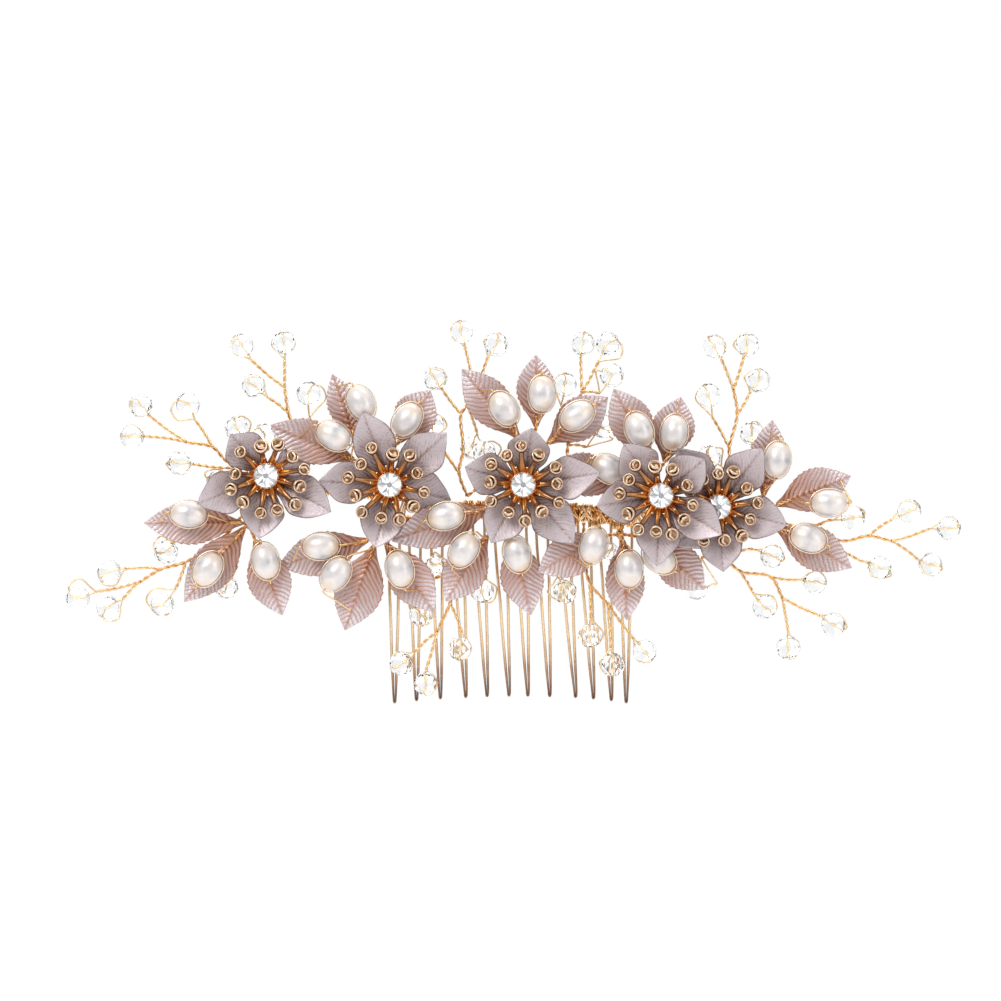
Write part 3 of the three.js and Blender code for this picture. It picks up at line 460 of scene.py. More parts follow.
def blade_axes(base, tip):
    base, tip = np.asarray(base, float), np.asarray(tip, float)
    length = np.linalg.norm(tip - base)
    along = (tip - base) / length
    across = unit(np.cross(FRONT, along))
    return base, length, along, across, unit(np.cross(along, across))


def ease(profile, t):
    """A smooth curve through the (t, value) points of a profile."""
    xs, ys = np.array(profile, float).T
    slopes = np.gradient(ys, xs)
    k = np.clip(np.searchsorted(xs, t, side="right") - 1, 0, len(xs) - 2)
    h = xs[k + 1] - xs[k]
    u = (t - xs[k]) / h
    return ((2 * u**3 - 3 * u**2 + 1) * ys[k] + (u**3 - 2 * u**2 + u) * h * slopes[k]
            + (3 * u**2 - 2 * u**3) * ys[k + 1] + (u**3 - u**2) * h * slopes[k + 1])


# Half widths along each blade, as shares of its length and of its widest half width.
PETAL_OUTLINE = [(0, 0.3), (0.2, 0.58), (0.38, 0.88), (0.52, 1), (0.66, 0.91), (0.8, 0.62), (0.92, 0.28),
                 (1, 0.0)]
LEAF_OUTLINE = [(0, 0.1), (0.12, 0.3), (0.28, 0.72), (0.48, 1), (0.66, 0.93), (0.84, 0.54), (1, 0.02)]


def sheet_grid(counts):
    """Shares along a sheet, from 0 to 1, and across it, from -1 to 1."""
    rows, columns = counts
    return np.linspace(0, 1, rows)[:, None], np.linspace(-1, 1, columns)[None, :]


def ridges(phase):
    """Rounded ridges with sharp furrows, from 0 to 1, one to each unit of phase."""
    return np.abs(np.sin(math.pi * phase)) ** 0.7


def petal(build, centre, tip, cup, turn):
    base = np.asarray(centre, float)
    base = base + unit(np.asarray(tip, float) - base) * PETAL_START
    base, length, along, across, normal = blade_axes(base, tip)
    t, s = sheet_grid(PETAL_GRID)
    wave = 1 + 0.03 * np.sin(t * 17 + turn) * (np.abs(s) > 0.9)
    half = PETAL_HALF_WIDTH * np.maximum(ease(PETAL_OUTLINE, t), 0.01) * wave
    out = half * s
    lift = cup * (out / PETAL_HALF_WIDTH) ** 2 + PETAL_TIP_LIFT * t**3 + 0.18 * np.sin(t * 9 + turn) * s * t
    phase = (t * length * 0.7 - np.abs(out) * 0.8) / PETAL_VEIN_SPACING
    phase = phase + 0.2 * np.sin(t * 19 + s * 4 + turn) + 0.12 * np.sin(t * 47 - s * 9 + 2 * turn)
    relief = PETAL_VEIN_RELIEF * ridges(phase) * np.clip(t * 4, 0, 1) * np.clip((1 - np.abs(s)) * 6, 0, 1)
    groove = PETAL_GROOVE_DEPTH * np.exp(-((out / 0.32) ** 2)) * (1 - t**2)
    height = lift + relief - groove
    rows = base + along * (t * length)[..., None] + across * out[..., None] + normal * height[..., None]
    shade = 0.08 + 0.68 * t + 0 * s
    # The veins tint the colour: painted shade in their furrows and a painted highlight on their ridges.
    shade = shade + 0.42 * (ridges(phase) - 0.55)
    # A darker rim, and painted shade down the middle groove.
    shade = shade - 0.75 * (np.abs(s) > 0.95) - 0.3 * np.exp(-((out / 0.3) ** 2))
    sheet_form(build, rows, normal, PETAL_THICKNESS, np.clip(shade, 0, 1))


def lathe(build, centre, axis, profile, sides, tones=0.5, caps=True):
    """Turns (radius, height) points round an axis."""
    centre, axis = np.asarray(centre, float), unit(axis)
    side = unit(np.cross(axis, [0.31, 0.17, 0.93]))
    up = np.cross(axis, side)
    rows = []
    for radius, height in profile:
        ring = []
        for j in range(sides):
            angle = 2 * math.pi * j / sides
            ring.append(centre + axis * height + (side * math.cos(angle) + up * math.sin(angle)) * radius)
        rows.append(ring)
    build.rings(np.array(rows), tones, caps)


# The head of a stamen: a little round cup with a rolled rim and a dished front.
HEAD_PROFILE = [(0.02, -0.92), (0.42, -0.84), (0.76, -0.6), (0.95, -0.25), (1, 0.1), (0.93, 0.4),
                (0.84, 0.54), (0.74, 0.5), (0.62, 0.36), (0.44, 0.27), (0.22, 0.23), (0.02, 0.22)]
# Tones along the head's profile: light on the rolled rim, painted shade in the dish and on the back.
HEAD_TONES_WITH_PAINTED_SHADE = [0.4, 0.45, 0.55, 0.7, 0.8, 0.9, 0.95, 0.8, 0.52, 0.47, 0.45, 0.45]


def stamens(build, flower):
    x, y, z = flower["centre"]
    back = y - CUP_STANDOFF
    for k, (degrees, reach) in enumerate(flower["arms"]):
        out = spoke(math.radians(degrees))
        start = np.array([x, back - STAMENS_RISE_STEP, z]) + out * CUP_RADIUS * 0.7
        end = np.array([x, y - flower["rise"], z]) + out * reach
        middle = (start + end) / 2 + np.array([0, 0.35, 0]) + out * 0.3
        route = smooth_route([start, middle, end], 0.35)
        share = np.linspace(0, 1, len(route))
        radius = ARM_RADIUS + ARM_FOOT_FLARE * np.clip(1 - share * 2.2, 0, 1) ** 0.7
        tube(build, route, radius, 10, 0.02 + 0.62 * share, squash=ARM_FLATNESS)
        facing = unit(FRONT * (1.5 + 0.2 * (k % 3)) + out * 0.75)
        size = HEAD_RADIUS * (0.95 + 0.04 * ((k * 7) % 4))
        profile = [(r * size, h * size) for r, h in HEAD_PROFILE]
        lathe(build, end, facing, profile, 18, HEAD_TONES_WITH_PAINTED_SHADE)
        way = unit(np.cross(facing, spoke(1.1 * k)))
        lip = np.cross(facing, way) * 0.28 * size
        bar = smooth_route([end + facing * 0.3 * size - way * 0.62 * size, end + facing * 0.52 * size + lip,
                            end + facing * 0.3 * size + way * 0.62 * size], 0.2)
        tube(build, bar, 0.2 * size, 8, 0.95)


def prong(build, centre, angle, bends, radius, thinning, sides, brightening, squash=1.0):
    """A small bent claw. Each bend is how far it stands out from the axis, and how far forward."""
    points = [np.array(centre) + spoke(angle) * out + FRONT * depth for out, depth in bends]
    route = smooth_route(points, 0.25)
    share = np.linspace(0, 1, len(route))
    # Its tone is painted shade at the root by the cup, lighter towards the tip as a painted highlight.
    tube(build, route, radius - thinning * share, sides, 0.2 + brightening * share, squash)


def setting(build, flower):
    """The stone's cup and its claws."""
    x, y, z = flower["centre"]
    back = y - CUP_STANDOFF
    centre = [x, back, z]
    cup = [(1.5, 0), (2.0, 0.15), (2.2, 0.7), (2.3, 1.5), (2.46, 2.2), (2.52, 2.35), (2.4, 2.4),
           (2.2, 2.1), (1.9, 1.7), (0.02, 1.6)]
    # Cup tones: a painted highlight along the rim, painted shade towards the back and inside the cup.
    lathe(build, centre, FRONT, cup, 40, [0.1, 0.15, 0.3, 0.5, 0.8, 1, 0.9, 0.5, 0.3, 0.2])
    for k in range(SEPALS):
        bends = [(2.2, 0.8), (3.1, 1.7), (3.6 + 0.3 * (k % 2), 2.5)]
        prong(build, centre, 2 * math.pi * k / SEPALS + x, bends, 0.5, 0.28, 8, 0.8, squash=0.5)
    for k in range(CLAWS):
        bends = [(2.45, 1.5), (2.55, 2.9), (1.75, 3.75)]
        prong(build, centre, 2 * math.pi * (k + 0.5) / CLAWS, bends, 0.42, 0.16, 6, 0.6)


def rhinestone(build, flower):
    """A brilliant-cut stone: table, star, kite and girdle facets above, a cone of facets below."""
    x, y, z = flower["centre"]
    centre = np.array([x, y - STONE_STANDOFF - 0.1, z])

    def ring(radius, depth, count, half):
        return [centre + FRONT * depth + spoke(2 * math.pi * (k + half) / count) * radius
                for k in range(count)]

    table = ring(STONE_RADIUS * TABLE_SHARE, 1.78, 8, 0)
    star = ring(STONE_RADIUS * STAR_SHARE, 1.52, 8, 0.5)
    top = ring(STONE_RADIUS, 0.95, 16, 0)
    low = ring(STONE_RADIUS, 0.8, 16, 0)
    points = table + star + top + low + [centre]
    faces = [list(range(8))]
    for k in range(8):
        n = (k + 1) % 8
        before = (k - 1) % 8
        faces.append([k, n, 8 + k])
        faces.append([k, 8 + k, 16 + 2 * k, 8 + before])
        faces.append([8 + k, 16 + 2 * k + 1, 16 + 2 * k])
        faces.append([8 + k, 16 + (2 * k + 2) % 16, 16 + 2 * k + 1])
    for j in range(16):
        n = (j + 1) % 16
        faces.append([16 + j, 16 + n, 32 + n, 32 + j])
        faces.append([32 + j, 32 + n, 48])
    build.add(points, faces, 0.5, flat=True)


def leaf_surface(build, item, index):
    base, length, along, across, normal = blade_axes(item["base"], item["tip"])
    t, s = sheet_grid(LEAF_GRID)
    outline = np.maximum(ease(LEAF_OUTLINE, t), 0.012)
    saw = (t * LEAF_TEETH) % 1.0
    ends = np.clip(t * 8 - 1, 0, 1) * np.clip((1 - t) * 8, 0, 1)
    teeth = 1 - LEAF_TOOTH_DEPTH / item["width"] * saw * ends
    half = item["width"] * outline * (1 + (teeth - 1) * np.abs(s) ** 3)
    out = half * s
    far = np.abs(out)
    drift = 0.12 * np.sin(t * 23 + s * 3 + index) + 0.06 * np.sin(t * 57 - s * 7 + 2 * index)
    phase = (t * length - far * 0.7 - far**2 * 0.07) / LEAF_VEIN_SPACING + drift
    cross = ridges((t * length * 0.5 + far) / LEAF_CROSS_SPACING + 2 * drift)
    fade = np.clip(t * 5, 0, 1) * np.clip((1 - t) * 9, 0, 1)
    relief = LEAF_VEIN_RELIEF * (ridges(phase) - 0.6) * fade * np.clip(far * 2.2, 0, 1)
    relief = relief + LEAF_CROSS_RELIEF * (cross - 0.6) * fade
    rib = LEAF_RIB_HEIGHT * np.exp(-((out / LEAF_RIB_WIDTH) ** 2)) * (1 - 0.5 * t)
    arch = 0.35 * (0.5 + 0.3 * (index % 3))
    bend = 0.25 * (out / item["width"]) ** 2 + arch * np.sin(math.pi * t) - 0.2 * t
    height = bend + relief + rib
    rows = base + along * (t * length)[..., None] + across * out[..., None] + normal * height[..., None]
    # Colour runs from base to tip; the vein and cross ridges add painted shade in their furrows and a
    # painted highlight on their ridges.
    shade = 0.14 + 0.76 * t + 0 * s + (0.6 * (ridges(phase) - 0.72) + 0.22 * (cross - 0.65)) * fade
    shade = shade + 0.1 * np.abs(s) - 0.5 * (np.abs(s) > 0.97) - 0.25 * np.exp(-((out / 0.34) ** 2))
    sheet_form(build, rows, normal, LEAF_THICKNESS, np.clip(shade, 0, 1))


def node_centre(node):
    low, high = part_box(node)
    return np.array((low + high) / 2) / MM


def find_flowers():
    """Each flower's centre stands behind its stone by the depth of the cup and its gaps."""
    for i, flower in enumerate(FLOWERS, 1):
        x, _, z = node_centre(f"flower_{i}_rhinestone")
        _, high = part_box(f"flower_{i}_rhinestone")
        flower["centre"] = [x, high.y / MM + STONE_STANDOFF, z]


def find_pearls():
    """Each pearl's centre is its box's, and its axis is that of the joint it spins on."""
    axes = {joint["child"]: joint["axis"] for joint in frame["joints"]}
    for i, spray in enumerate(SPRAYS, 1):
        for j, item in enumerate(spray["leaves"], 1):
            node = f"pearl_{i}_{j}"
            base, along = np.array(item["base"], float), np.subtract(item["tip"], item["base"])
            item["centre"] = node_centre(node)
            item["axis"] = unit(axes[node])
            reach = (item["centre"] - base) * [1, 0, 1]
            item["share"] = reach.dot(along) / (along[0] ** 2 + along[2] ** 2)


def pearl_wires(build, item):
    """A thin wire threads the pearl from pole to pole, and both ends wind back to the leaf."""
    centre, axis, share = item["centre"], item["axis"], item["share"]
    base, tip = np.array(item["base"], float), np.array(item["tip"], float)
    way = math.copysign(1, axis.dot(tip - base))
    pole = axis * way * (PEARL_HALF_LENGTH + POLE_CLEARANCE)
    bend = axis * way * (PEARL_HALF_LENGTH + POLE_REACH)
    near = base + (tip - base) * max(WIRE_NEAREST, share - WIRE_BEHIND_PEARL) + FRONT * 0.3
    far = base + (tip - base) * min(WIRE_FURTHEST, share + WIRE_BEYOND_PEARL) + FRONT * 0.1
    tube(build, np.array([centre - pole, centre + pole]), THREAD_RADIUS, 6, 0.7)
    rising = [near, (near + centre - bend) / 2 + FRONT * 0.3, centre - bend, centre - pole * 0.93]
    falling = [centre + pole * 0.93, centre + bend, (far + centre + bend) / 2, far]
    for route in (rising, falling):
        tube(build, smooth_route(route, 0.3), THREAD_RADIUS, 6, 0.7)
    twist(build, [base + FRONT * 0.35, near], THREAD_RADIUS, 2.2, tones=0.6)
    side = np.cross(FRONT, axis)
    turns = np.linspace(0, 2 * math.pi, 40)
    frame_wire = [centre + axis * (PEARL_HALF_LENGTH + POLE_CLEARANCE) * math.cos(a)
                  + side * (PEARL_RADIUS + 0.22) * math.sin(a) - FRONT * 0.5 for a in turns]
    tube(build, np.array(frame_wire), FRAME_WIRE_RADIUS, 6, 1.0)


def spray_wires(build, spray):
    hub, tail = np.array(spray["hub"], float), np.array(spray["tail"], float)
    twist(build, [hub, (hub + tail) / 2, tail], 0.24, 2.4, strands=3, tones=0.4)
    for item in spray["leaves"]:
        base, tip = np.array(item["base"], float), np.array(item["tip"], float)
        inside = base + (tip - base) * 0.16 + FRONT * 0.2
        twist(build, [hub, base + FRONT * 0.1, inside], 0.2, 2.0, tones=0.5)
        pearl_wires(build, item)
    lump = smooth_route([hub + np.array([0, 0.7, -0.4]), hub, hub + np.array([0, -0.7, 0.5])], 0.3)
    twist(build, lump, 0.24, 1.2, strands=3, spread=2.2, tones=0.5)


def pearl_form(build, item):
    centre, axis = item["centre"], item["axis"]
    profile = [(0.28, -PEARL_HALF_LENGTH * 0.9)]
    for k in range(26):
        angle = -math.pi / 2 + 0.14 + (math.pi - 0.28) * k / 25
        profile.append((PEARL_RADIUS * math.cos(angle) ** 0.92, PEARL_HALF_LENGTH * math.sin(angle)))
    profile.append((0.28, PEARL_HALF_LENGTH * 0.9))
    profile.append(profile[0])
    # The tone, 0 round the middle and 1 at the poles, carries the painted reflection.
    tones = [abs(h) / PEARL_HALF_LENGTH for _, h in profile]
    lathe(build, centre, axis, profile, 36, tones, caps=False)


def bead(build, centre, axis, radius, turn):
    """A faceted round bead with a small flat face at each end of its axis."""
    rings = [(0.14, -0.96, 0), (0.6, -0.78, 0.5), (0.92, -0.36, 0), (1, 0.04, 0.5), (0.88, 0.44, 0),
             (0.56, 0.8, 0.5), (0.14, 0.96, 0)]
    axis = unit(axis)
    side = unit(np.cross(axis, [0.2, 0.9, 0.3]))
    up = np.cross(axis, side)
    sides = 8
    points = []
    for size, height, half in rings:
        for j in range(sides):
            angle = turn + 2 * math.pi * (j + half) / sides
            spoke = side * math.cos(angle) + up * math.sin(angle)
            points.append(centre + (axis * height + spoke * size) * radius)
    faces = []
    for i in range(len(rings) - 1):
        shift = rings[i + 1][2] - rings[i][2]
        for j in range(sides):
            a, b = i * sides + j, i * sides + (j + 1) % sides
            c, d = (i + 1) * sides + j, (i + 1) * sides + (j + 1) % sides
            if shift == 0:
                faces.append([a, b, d, c])
            elif shift > 0:
                faces.extend([[a, b, c], [b, d, c]])
            else:
                faces.extend([[a, b, d], [a, d, c]])
    faces.append(list(range(sides))[::-1])
    faces.append([(len(rings) - 1) * sides + j for j in range(sides)])
    build.add(points, faces, 0.5, flat=True)


def crystal_loop(build, item, size):
    """A drop-shaped loop of thin wire. One of its sides threads the bead."""
    _, start, far, centre = [np.array(p, float) for p in item[:4]]
    along = unit(far - start)
    across = unit(np.cross(FRONT, along))
    share = (centre - start).dot(along)
    offset = (centre - start).dot(across)
    side = -1 if offset < 0 else 1
    other = start + along * share - across * side * (1.7 + 0.25 * abs(offset))
    turn = far - along * 0.5
    route = smooth_route([start, start + (centre - start) * 0.4 + across * side * 0.15, centre,
                          turn + across * (offset * 0.5 + side * 0.3), far,
                          turn + (other - centre) * 0.5 + across * offset * 0.4, other,
                          start + (other - start) * 0.4, start], 0.3)
    tube(build, route, LOOP_RADIUS, 6, 0.85)
    return along


def sprig(wires, beads, item, index):
    for k, route in enumerate(item["stems"]):
        twist(wires, route, STRAND_RADIUS * 1.1, TWIST_PITCH, phase=k, tones=0.6)
    for k, crystal in enumerate(item["crystals"]):
        size = crystal[4] if len(crystal) > 4 else CRYSTAL_RADIUS
        start, end = np.array(crystal[0], float), np.array(crystal[1], float)
        bow = (start + end) / 2 + np.array([0, 0.2, 0.25 * (-1) ** k])
        twist(wires, [start, bow, end], STRAND_RADIUS, TWIST_PITCH * 0.9, phase=k * 1.3, tones=0.7)
        along = crystal_loop(wires, crystal, size)
        bead(beads, np.array(crystal[3], float), along, size, 0.37 * (k + index))


# ---- comb -----------------------------------------------


def spine_height(x):
    return -SPINE_ARCH * (x / SPINE_HALF_LENGTH) ** 2


def backbone_height(x):
    xs, zs = np.array(BACKBONE, float).T
    return float(np.interp(x, xs, zs))


def comb_wires(build):
    """The spine, and each tooth as a hairpin: down one leg, round the tip and up the other."""
    xs = np.linspace(-SPINE_HALF_LENGTH, SPINE_HALF_LENGTH, 60)
    spine = np.array([[x, 0, spine_height(x)] for x in xs])
    tube(build, spine, SPINE_RADIUS, 10, 0.3)
    for i, tip_x in enumerate(TOOTH_TIPS_X):
        root_x = (i - (len(TOOTH_TIPS_X) - 1) / 2) * TOOTH_PITCH
        top = spine_height(root_x)
        legs = []
        for side in (-1, 1):
            legs.append([
                [root_x + side * (LEG_HALF_GAP - 0.1), 0, top + 0.2],
                [root_x + side * LEG_HALF_GAP, 0, top - 1.2],
                [(root_x + tip_x) / 2 + side * LEG_HALF_GAP * 0.66, TOOTH_BOW / 4, top - TOOTH_LENGTH / 2],
                [tip_x + (root_x - tip_x) * 0.16 + side * 0.38, TOOTH_BOW * 0.7, top - TOOTH_LENGTH * 0.84],
                [tip_x + side * LEG_HALF_GAP_TIP, TOOTH_BOW * 0.96, top - TOOTH_LENGTH + 0.9],
                [tip_x + side * 0.15, TOOTH_BOW, top - TOOTH_LENGTH + 0.2]])
        bend = [tip_x, TOOTH_BOW, top - TOOTH_LENGTH]
        route = smooth_route(legs[0] + [bend] + legs[1][::-1], 0.8)
        share = (top - route[:, 2]) / TOOTH_LENGTH
        wobble = 0.05 * np.sin(route[:, 2] * 0.5 + i * 2.1)
        route[:, 0] += wobble * (1 - share)
        radius = COMB_WIRE_RADIUS * (0.88 - 0.28 * np.clip((share - 0.84) * 7, 0, 1))
        worn = 1.7 * np.clip(share - 0.58, 0, 1)
        tube(build, route, radius, 9, np.clip(1.0 - 0.35 * share - worn, 0, 1))


def coil(build, xs, loop, per_turn, radius, tones):
    """A wire wound round and round. `loop` gives the point for a place along and an angle."""
    count = len(xs)
    points = [loop(xs[k], 2 * math.pi * k / per_turn) for k in range(count)]
    tube(build, np.array(points), radius, 5, tones)


# Where the spine is lashed to the backbone: from, to and the number of turns.
LASHINGS = [(-24, -21, 6), (-17, -14, 6), (-9, -4.4, 11), (-1.5, 1.2, 6), (5, 7, 5), (12, 19, 17),
            (19.5, 27, 17)]

# Where wire is wound round the backbone alone: from, to and the number of turns.
WRAPS = [(-40, -33, 11), (-30, -27, 5), (29, 35, 9), (37, 42.6, 8), (-48.6, -46, 5)]


def bindings(build):
    """Fine wire wound tightly along the spine, with lashings up to the backbone."""
    per_turn = BINDING_POINTS
    end = SPINE_HALF_LENGTH - 0.4
    xs = np.linspace(-end, end, BINDING_TURNS * per_turn)

    def close_loop(x, angle):
        radius = SPINE_RADIUS + 0.24 + 0.05 * math.sin(x * 2.3)
        return [x, radius * math.sin(angle), spine_height(x) + radius * math.cos(angle)]

    coil(build, xs, close_loop, per_turn, BINDING_WIRE_RADIUS, 0.55 + 0.2 * np.sin(xs * 1.7))
    groups = len(TOOTH_TIPS_X) - 1
    for k in range(groups):
        middle = (k - (groups - 1) / 2) * TOOTH_PITCH
        xs = middle + np.linspace(-0.75, 0.75, 4 * per_turn)

        def wide_loop(x, angle):
            return [x, 1.05 * math.sin(angle), spine_height(x) - 0.35 + 1.35 * math.cos(angle)]

        coil(build, xs, wide_loop, per_turn, BINDING_WIRE_RADIUS, 0.66 + 0.2 * np.sin(xs * 5))
    for start, end, turns in LASHINGS:
        xs = np.linspace(start, end, turns * LASHING_POINTS)

        def long_loop(x, angle):
            low, high = spine_height(x), backbone_height(x)
            lean = 1.5 * math.sin(x * 2.3 + start)
            middle = np.array([x + lean * math.cos(angle), BACKBONE_Y / 2, (low + high) / 2])
            reach = np.array([0, BACKBONE_Y / 2, (high - low) / 2])
            size = max(np.linalg.norm(reach), 0.5)
            way = reach / size
            cross = np.array([0, way[2], -way[1]])
            return middle + way * (size + 0.95) * math.cos(angle) + cross * 1.0 * math.sin(angle)

        coil(build, xs, long_loop, LASHING_POINTS, LASHING_WIRE_RADIUS, 0.66 + 0.3 * np.sin(xs * 4))


def backbone(build):
    ends = [[x, BACKBONE_Y, z] for x, z in BACKBONE]
    twist(build, ends, BACKBONE_STRAND, 3.4, strands=4, spread=1.35, sides=6, tones=0.6)
    for start, end, turns in WRAPS:
        xs = np.linspace(start, end, turns * BINDING_POINTS)

        def loop(x, angle):
            y, z = BACKBONE_Y, backbone_height(x)
            return [x, y + WRAP_RADIUS * math.sin(angle), z + WRAP_RADIUS * math.cos(angle)]

        coil(build, xs, loop, BINDING_POINTS, 0.18, 0.55 + 0.2 * np.sin(xs * 3))


def flower_stem(build, flower):
    """The disc behind the petals, and the wire that ties the flower to the backbone."""
    x, y, z = flower["centre"]
    lathe(build, [x, y + 0.45, z], FRONT, [(2.2, 0), (2.6, 0.2), (2.65, 0.6), (2.4, 0.95), (0.02, 1.0)], 32,
          [0.2, 0.3, 0.35, 0.25, 0.15])
    foot = backbone_height(x)
    route = [[x, y + 0.3, z], [x, STEM_Y - 0.9, z], [x, STEM_Y, z - 0.9], [x, STEM_Y + 0.4, foot]]
    twist(build, route, 0.28, 2.4, strands=2, tones=0.3)


# ---- materials ------------------------------------------


def linear(code):
    parts = [int(code[k:k + 2], 16) / 255 for k in (0, 2, 4)]
    return [c / 12.92 if c <= 0.04045 else ((c + 0.055) / 1.055) ** 2.4 for c in parts] + [1.0]


# Shared by the materials: noise roughness, and how far a metal's tone and gloss wander.
NOISE_ROUGHNESS = 0.55
METAL_MOTTLE = 0.44
METAL_ROUGHNESS_SPREAD = 0.22
METAL_CLOUD_SCALE = 420
BUMP_DEPTH = 0.00006


class Nodes:
    def __init__(self, owner):
        owner.use_nodes = True
        self.tree = owner.node_tree

    def node(self, kind, **values):
        node = self.tree.nodes.new(kind)
        for key, value in values.items():
            setattr(node, key, value)
        return node

    def link(self, source, target):
        self.tree.links.new(source, target)

    def math(self, operation, a, b):
        node = self.node("ShaderNodeMath", operation=operation)
        for slot, value in zip(node.inputs, (a, b)):
            if isinstance(value, (int, float)):
                slot.default_value = value
            else:
                self.link(value, slot)
        return node.outputs[0]

    def ramp(self, source, stops):
        node = self.node("ShaderNodeValToRGB")
        points = node.color_ramp.elements
        while len(points) < len(stops):
            points.new(0.5)
        for point, (place, colour) in zip(points, stops):
            point.position = place
            point.color = linear(colour) if isinstance(colour, str) else [colour] * 3 + [1.0]
        self.link(source, node.inputs["Fac"])
        return node.outputs["Color"]


class MaterialNodes(Nodes):
    def __init__(self, name):
        self.material = bpy.data.materials.new(name)
        super().__init__(self.material)
        self.shader = self.tree.nodes["Principled BSDF"]
        self.coords = self.node("ShaderNodeTexCoord").outputs["Object"]

    def tone(self):
        return self.node("ShaderNodeAttribute", attribute_name="tone").outputs["Fac"]

    def noise(self, scale, detail=4.0):
        noise = self.node("ShaderNodeTexNoise")
        noise.inputs["Scale"].default_value = scale
        noise.inputs["Detail"].default_value = detail
        noise.inputs["Roughness"].default_value = NOISE_ROUGHNESS
        self.link(self.coords, noise.inputs["Vector"])
        return noise.outputs["Fac"]

    def bump(self, height, strength, distance):
        node = self.node("ShaderNodeBump")
        node.inputs["Strength"].default_value = strength
        node.inputs["Distance"].default_value = distance
        self.link(height, node.inputs["Height"])
        self.link(node.outputs["Normal"], self.shader.inputs["Normal"])

    def set(self, **values):
        for key, value in values.items():
            self.shader.inputs[key.replace("_", " ")].default_value = value


def metal(name, stops, metallic, rough, grain, bump=0.12):
    """A toned metal: the ramp follows the tone with a cloudy mottle, and grain breaks the gloss."""
    nodes = MaterialNodes(name)
    cloud = nodes.noise(METAL_CLOUD_SCALE, 5.0)
    drift = nodes.math("MULTIPLY", nodes.math("SUBTRACT", cloud, 0.5), METAL_MOTTLE)
    shade = nodes.math("ADD", nodes.tone(), drift)
    nodes.link(nodes.ramp(shade, stops), nodes.shader.inputs["Base Color"])
    fine = nodes.noise(grain, 6.0)
    spread = nodes.math("MULTIPLY", nodes.math("SUBTRACT", fine, 0.5), METAL_ROUGHNESS_SPREAD)
    nodes.link(nodes.math("ADD", spread, rough), nodes.shader.inputs["Roughness"])
    nodes.bump(fine, bump, BUMP_DEPTH)
    nodes.set(Metallic=metallic)
    return nodes.material


def pearl_material():
    """Nacre under a soft coat: grey round the middle and creamy towards the poles, a painted reflection,
    with very faint clouding and ripple.
    """
    nodes = MaterialNodes("pearl_nacre")
    clouding = nodes.math("MULTIPLY", nodes.noise(380, 4.0), 0.8)
    shade = nodes.math("ADD", nodes.math("MULTIPLY", nodes.tone(), 0.45), clouding)
    nodes.link(nodes.ramp(shade, [(0.25, "aaa7aa"), (0.42, "cdc8c8"), (0.62, "ddd6d2"), (1.0, "d8bd9f")]),
               nodes.shader.inputs["Base Color"])
    ripple = nodes.noise(900, 3.0)
    rough = nodes.math("ADD", nodes.math("MULTIPLY", ripple, 0.12), 0.3)
    nodes.link(rough, nodes.shader.inputs["Roughness"])
    nodes.bump(ripple, 0.05, 0.00004)
    nodes.set(Metallic=0.3, Coat_Weight=0.35, Coat_Roughness=0.12, Sheen_Weight=0.15)
    return nodes.material


def glass_material():
    nodes = MaterialNodes("clear_crystal")
    haze = nodes.noise(650, 3.0)
    nodes.link(nodes.ramp(haze, [(0.3, "ffffff"), (0.7, "eef2f4")]), nodes.shader.inputs["Base Color"])
    nodes.link(nodes.math("MULTIPLY", haze, 0.03), nodes.shader.inputs["Roughness"])
    nodes.set(Transmission_Weight=1.0, IOR=1.36)
    return nodes.material


def stone_material():
    """A foil-backed stone. Each facet's own direction picks how bright it is, a painted reflection of light
    and dark facets.
    """
    nodes = MaterialNodes("foiled_rhinestone")
    facet = nodes.node("ShaderNodeNewGeometry").outputs["True Normal"]
    noise = nodes.node("ShaderNodeTexNoise")
    noise.inputs["Scale"].default_value = 6.1
    noise.inputs["Detail"].default_value = 1.0
    nodes.link(facet, noise.inputs["Vector"])
    stops = [(0.3, "5c5e64"), (0.4, "a5a8ae"), (0.5, "f0f2f4"), (0.7, "ffffff")]
    nodes.link(nodes.ramp(noise.outputs["Fac"], stops), nodes.shader.inputs["Base Color"])
    nodes.link(nodes.math("MULTIPLY", nodes.noise(800), 0.06), nodes.shader.inputs["Roughness"])
    nodes.set(Metallic=0.85, Coat_Weight=1.0, Coat_Roughness=0.02)
    return nodes.material


PETAL = metal("petal_enamel",
    [(0.0, "63453f"), (0.25, "937b77"), (0.5, "b2a3a5"), (0.8, "c2b6ba"), (1.0, "e0dadd")],
    0.4, 0.4, 1500, bump=0.5)
LEAF = metal("leaf_metal",
    [(0.0, "7e4a30"), (0.22, "a9745a"), (0.5, "bc968a"), (0.78, "beaaaa"), (1.0, "dad0d3")],
    0.5, 0.38, 1500, bump=0.5)
STAMEN = metal("stamen_metal",
    [(0.0, "8e4312"), (0.22, "ba7638"), (0.45, "8c6a50"), (0.75, "b5967b"), (1.0, "dcc5ad")],
    0.95, 0.24, 1800)
GOLD = metal("gold_wire",
    [(0.0, "b5652a"), (0.3, "e0954c"), (0.55, "e6b274"), (0.85, "efd2a2"), (1.0, "fae8cc")],
    1.0, 0.24, 2400)
COMB = metal("comb_wire_metal",
    [(0.0, "6e5344"), (0.25, "a5836a"), (0.55, "ddbb95"), (0.85, "efd2a8"), (1.0, "f4dcb8")],
    1.0, 0.22, 2400)
PEARL = pearl_material()
CRYSTAL = glass_material()
STONE = stone_material()

# ---- assembly -------------------------------------------

find_flowers()
find_pearls()


def piece(name, fill, material, slot, replaces=None, body=HOLDER):
    build = Build()
    fill(build)
    build.make(name, material, body, slot, replaces)


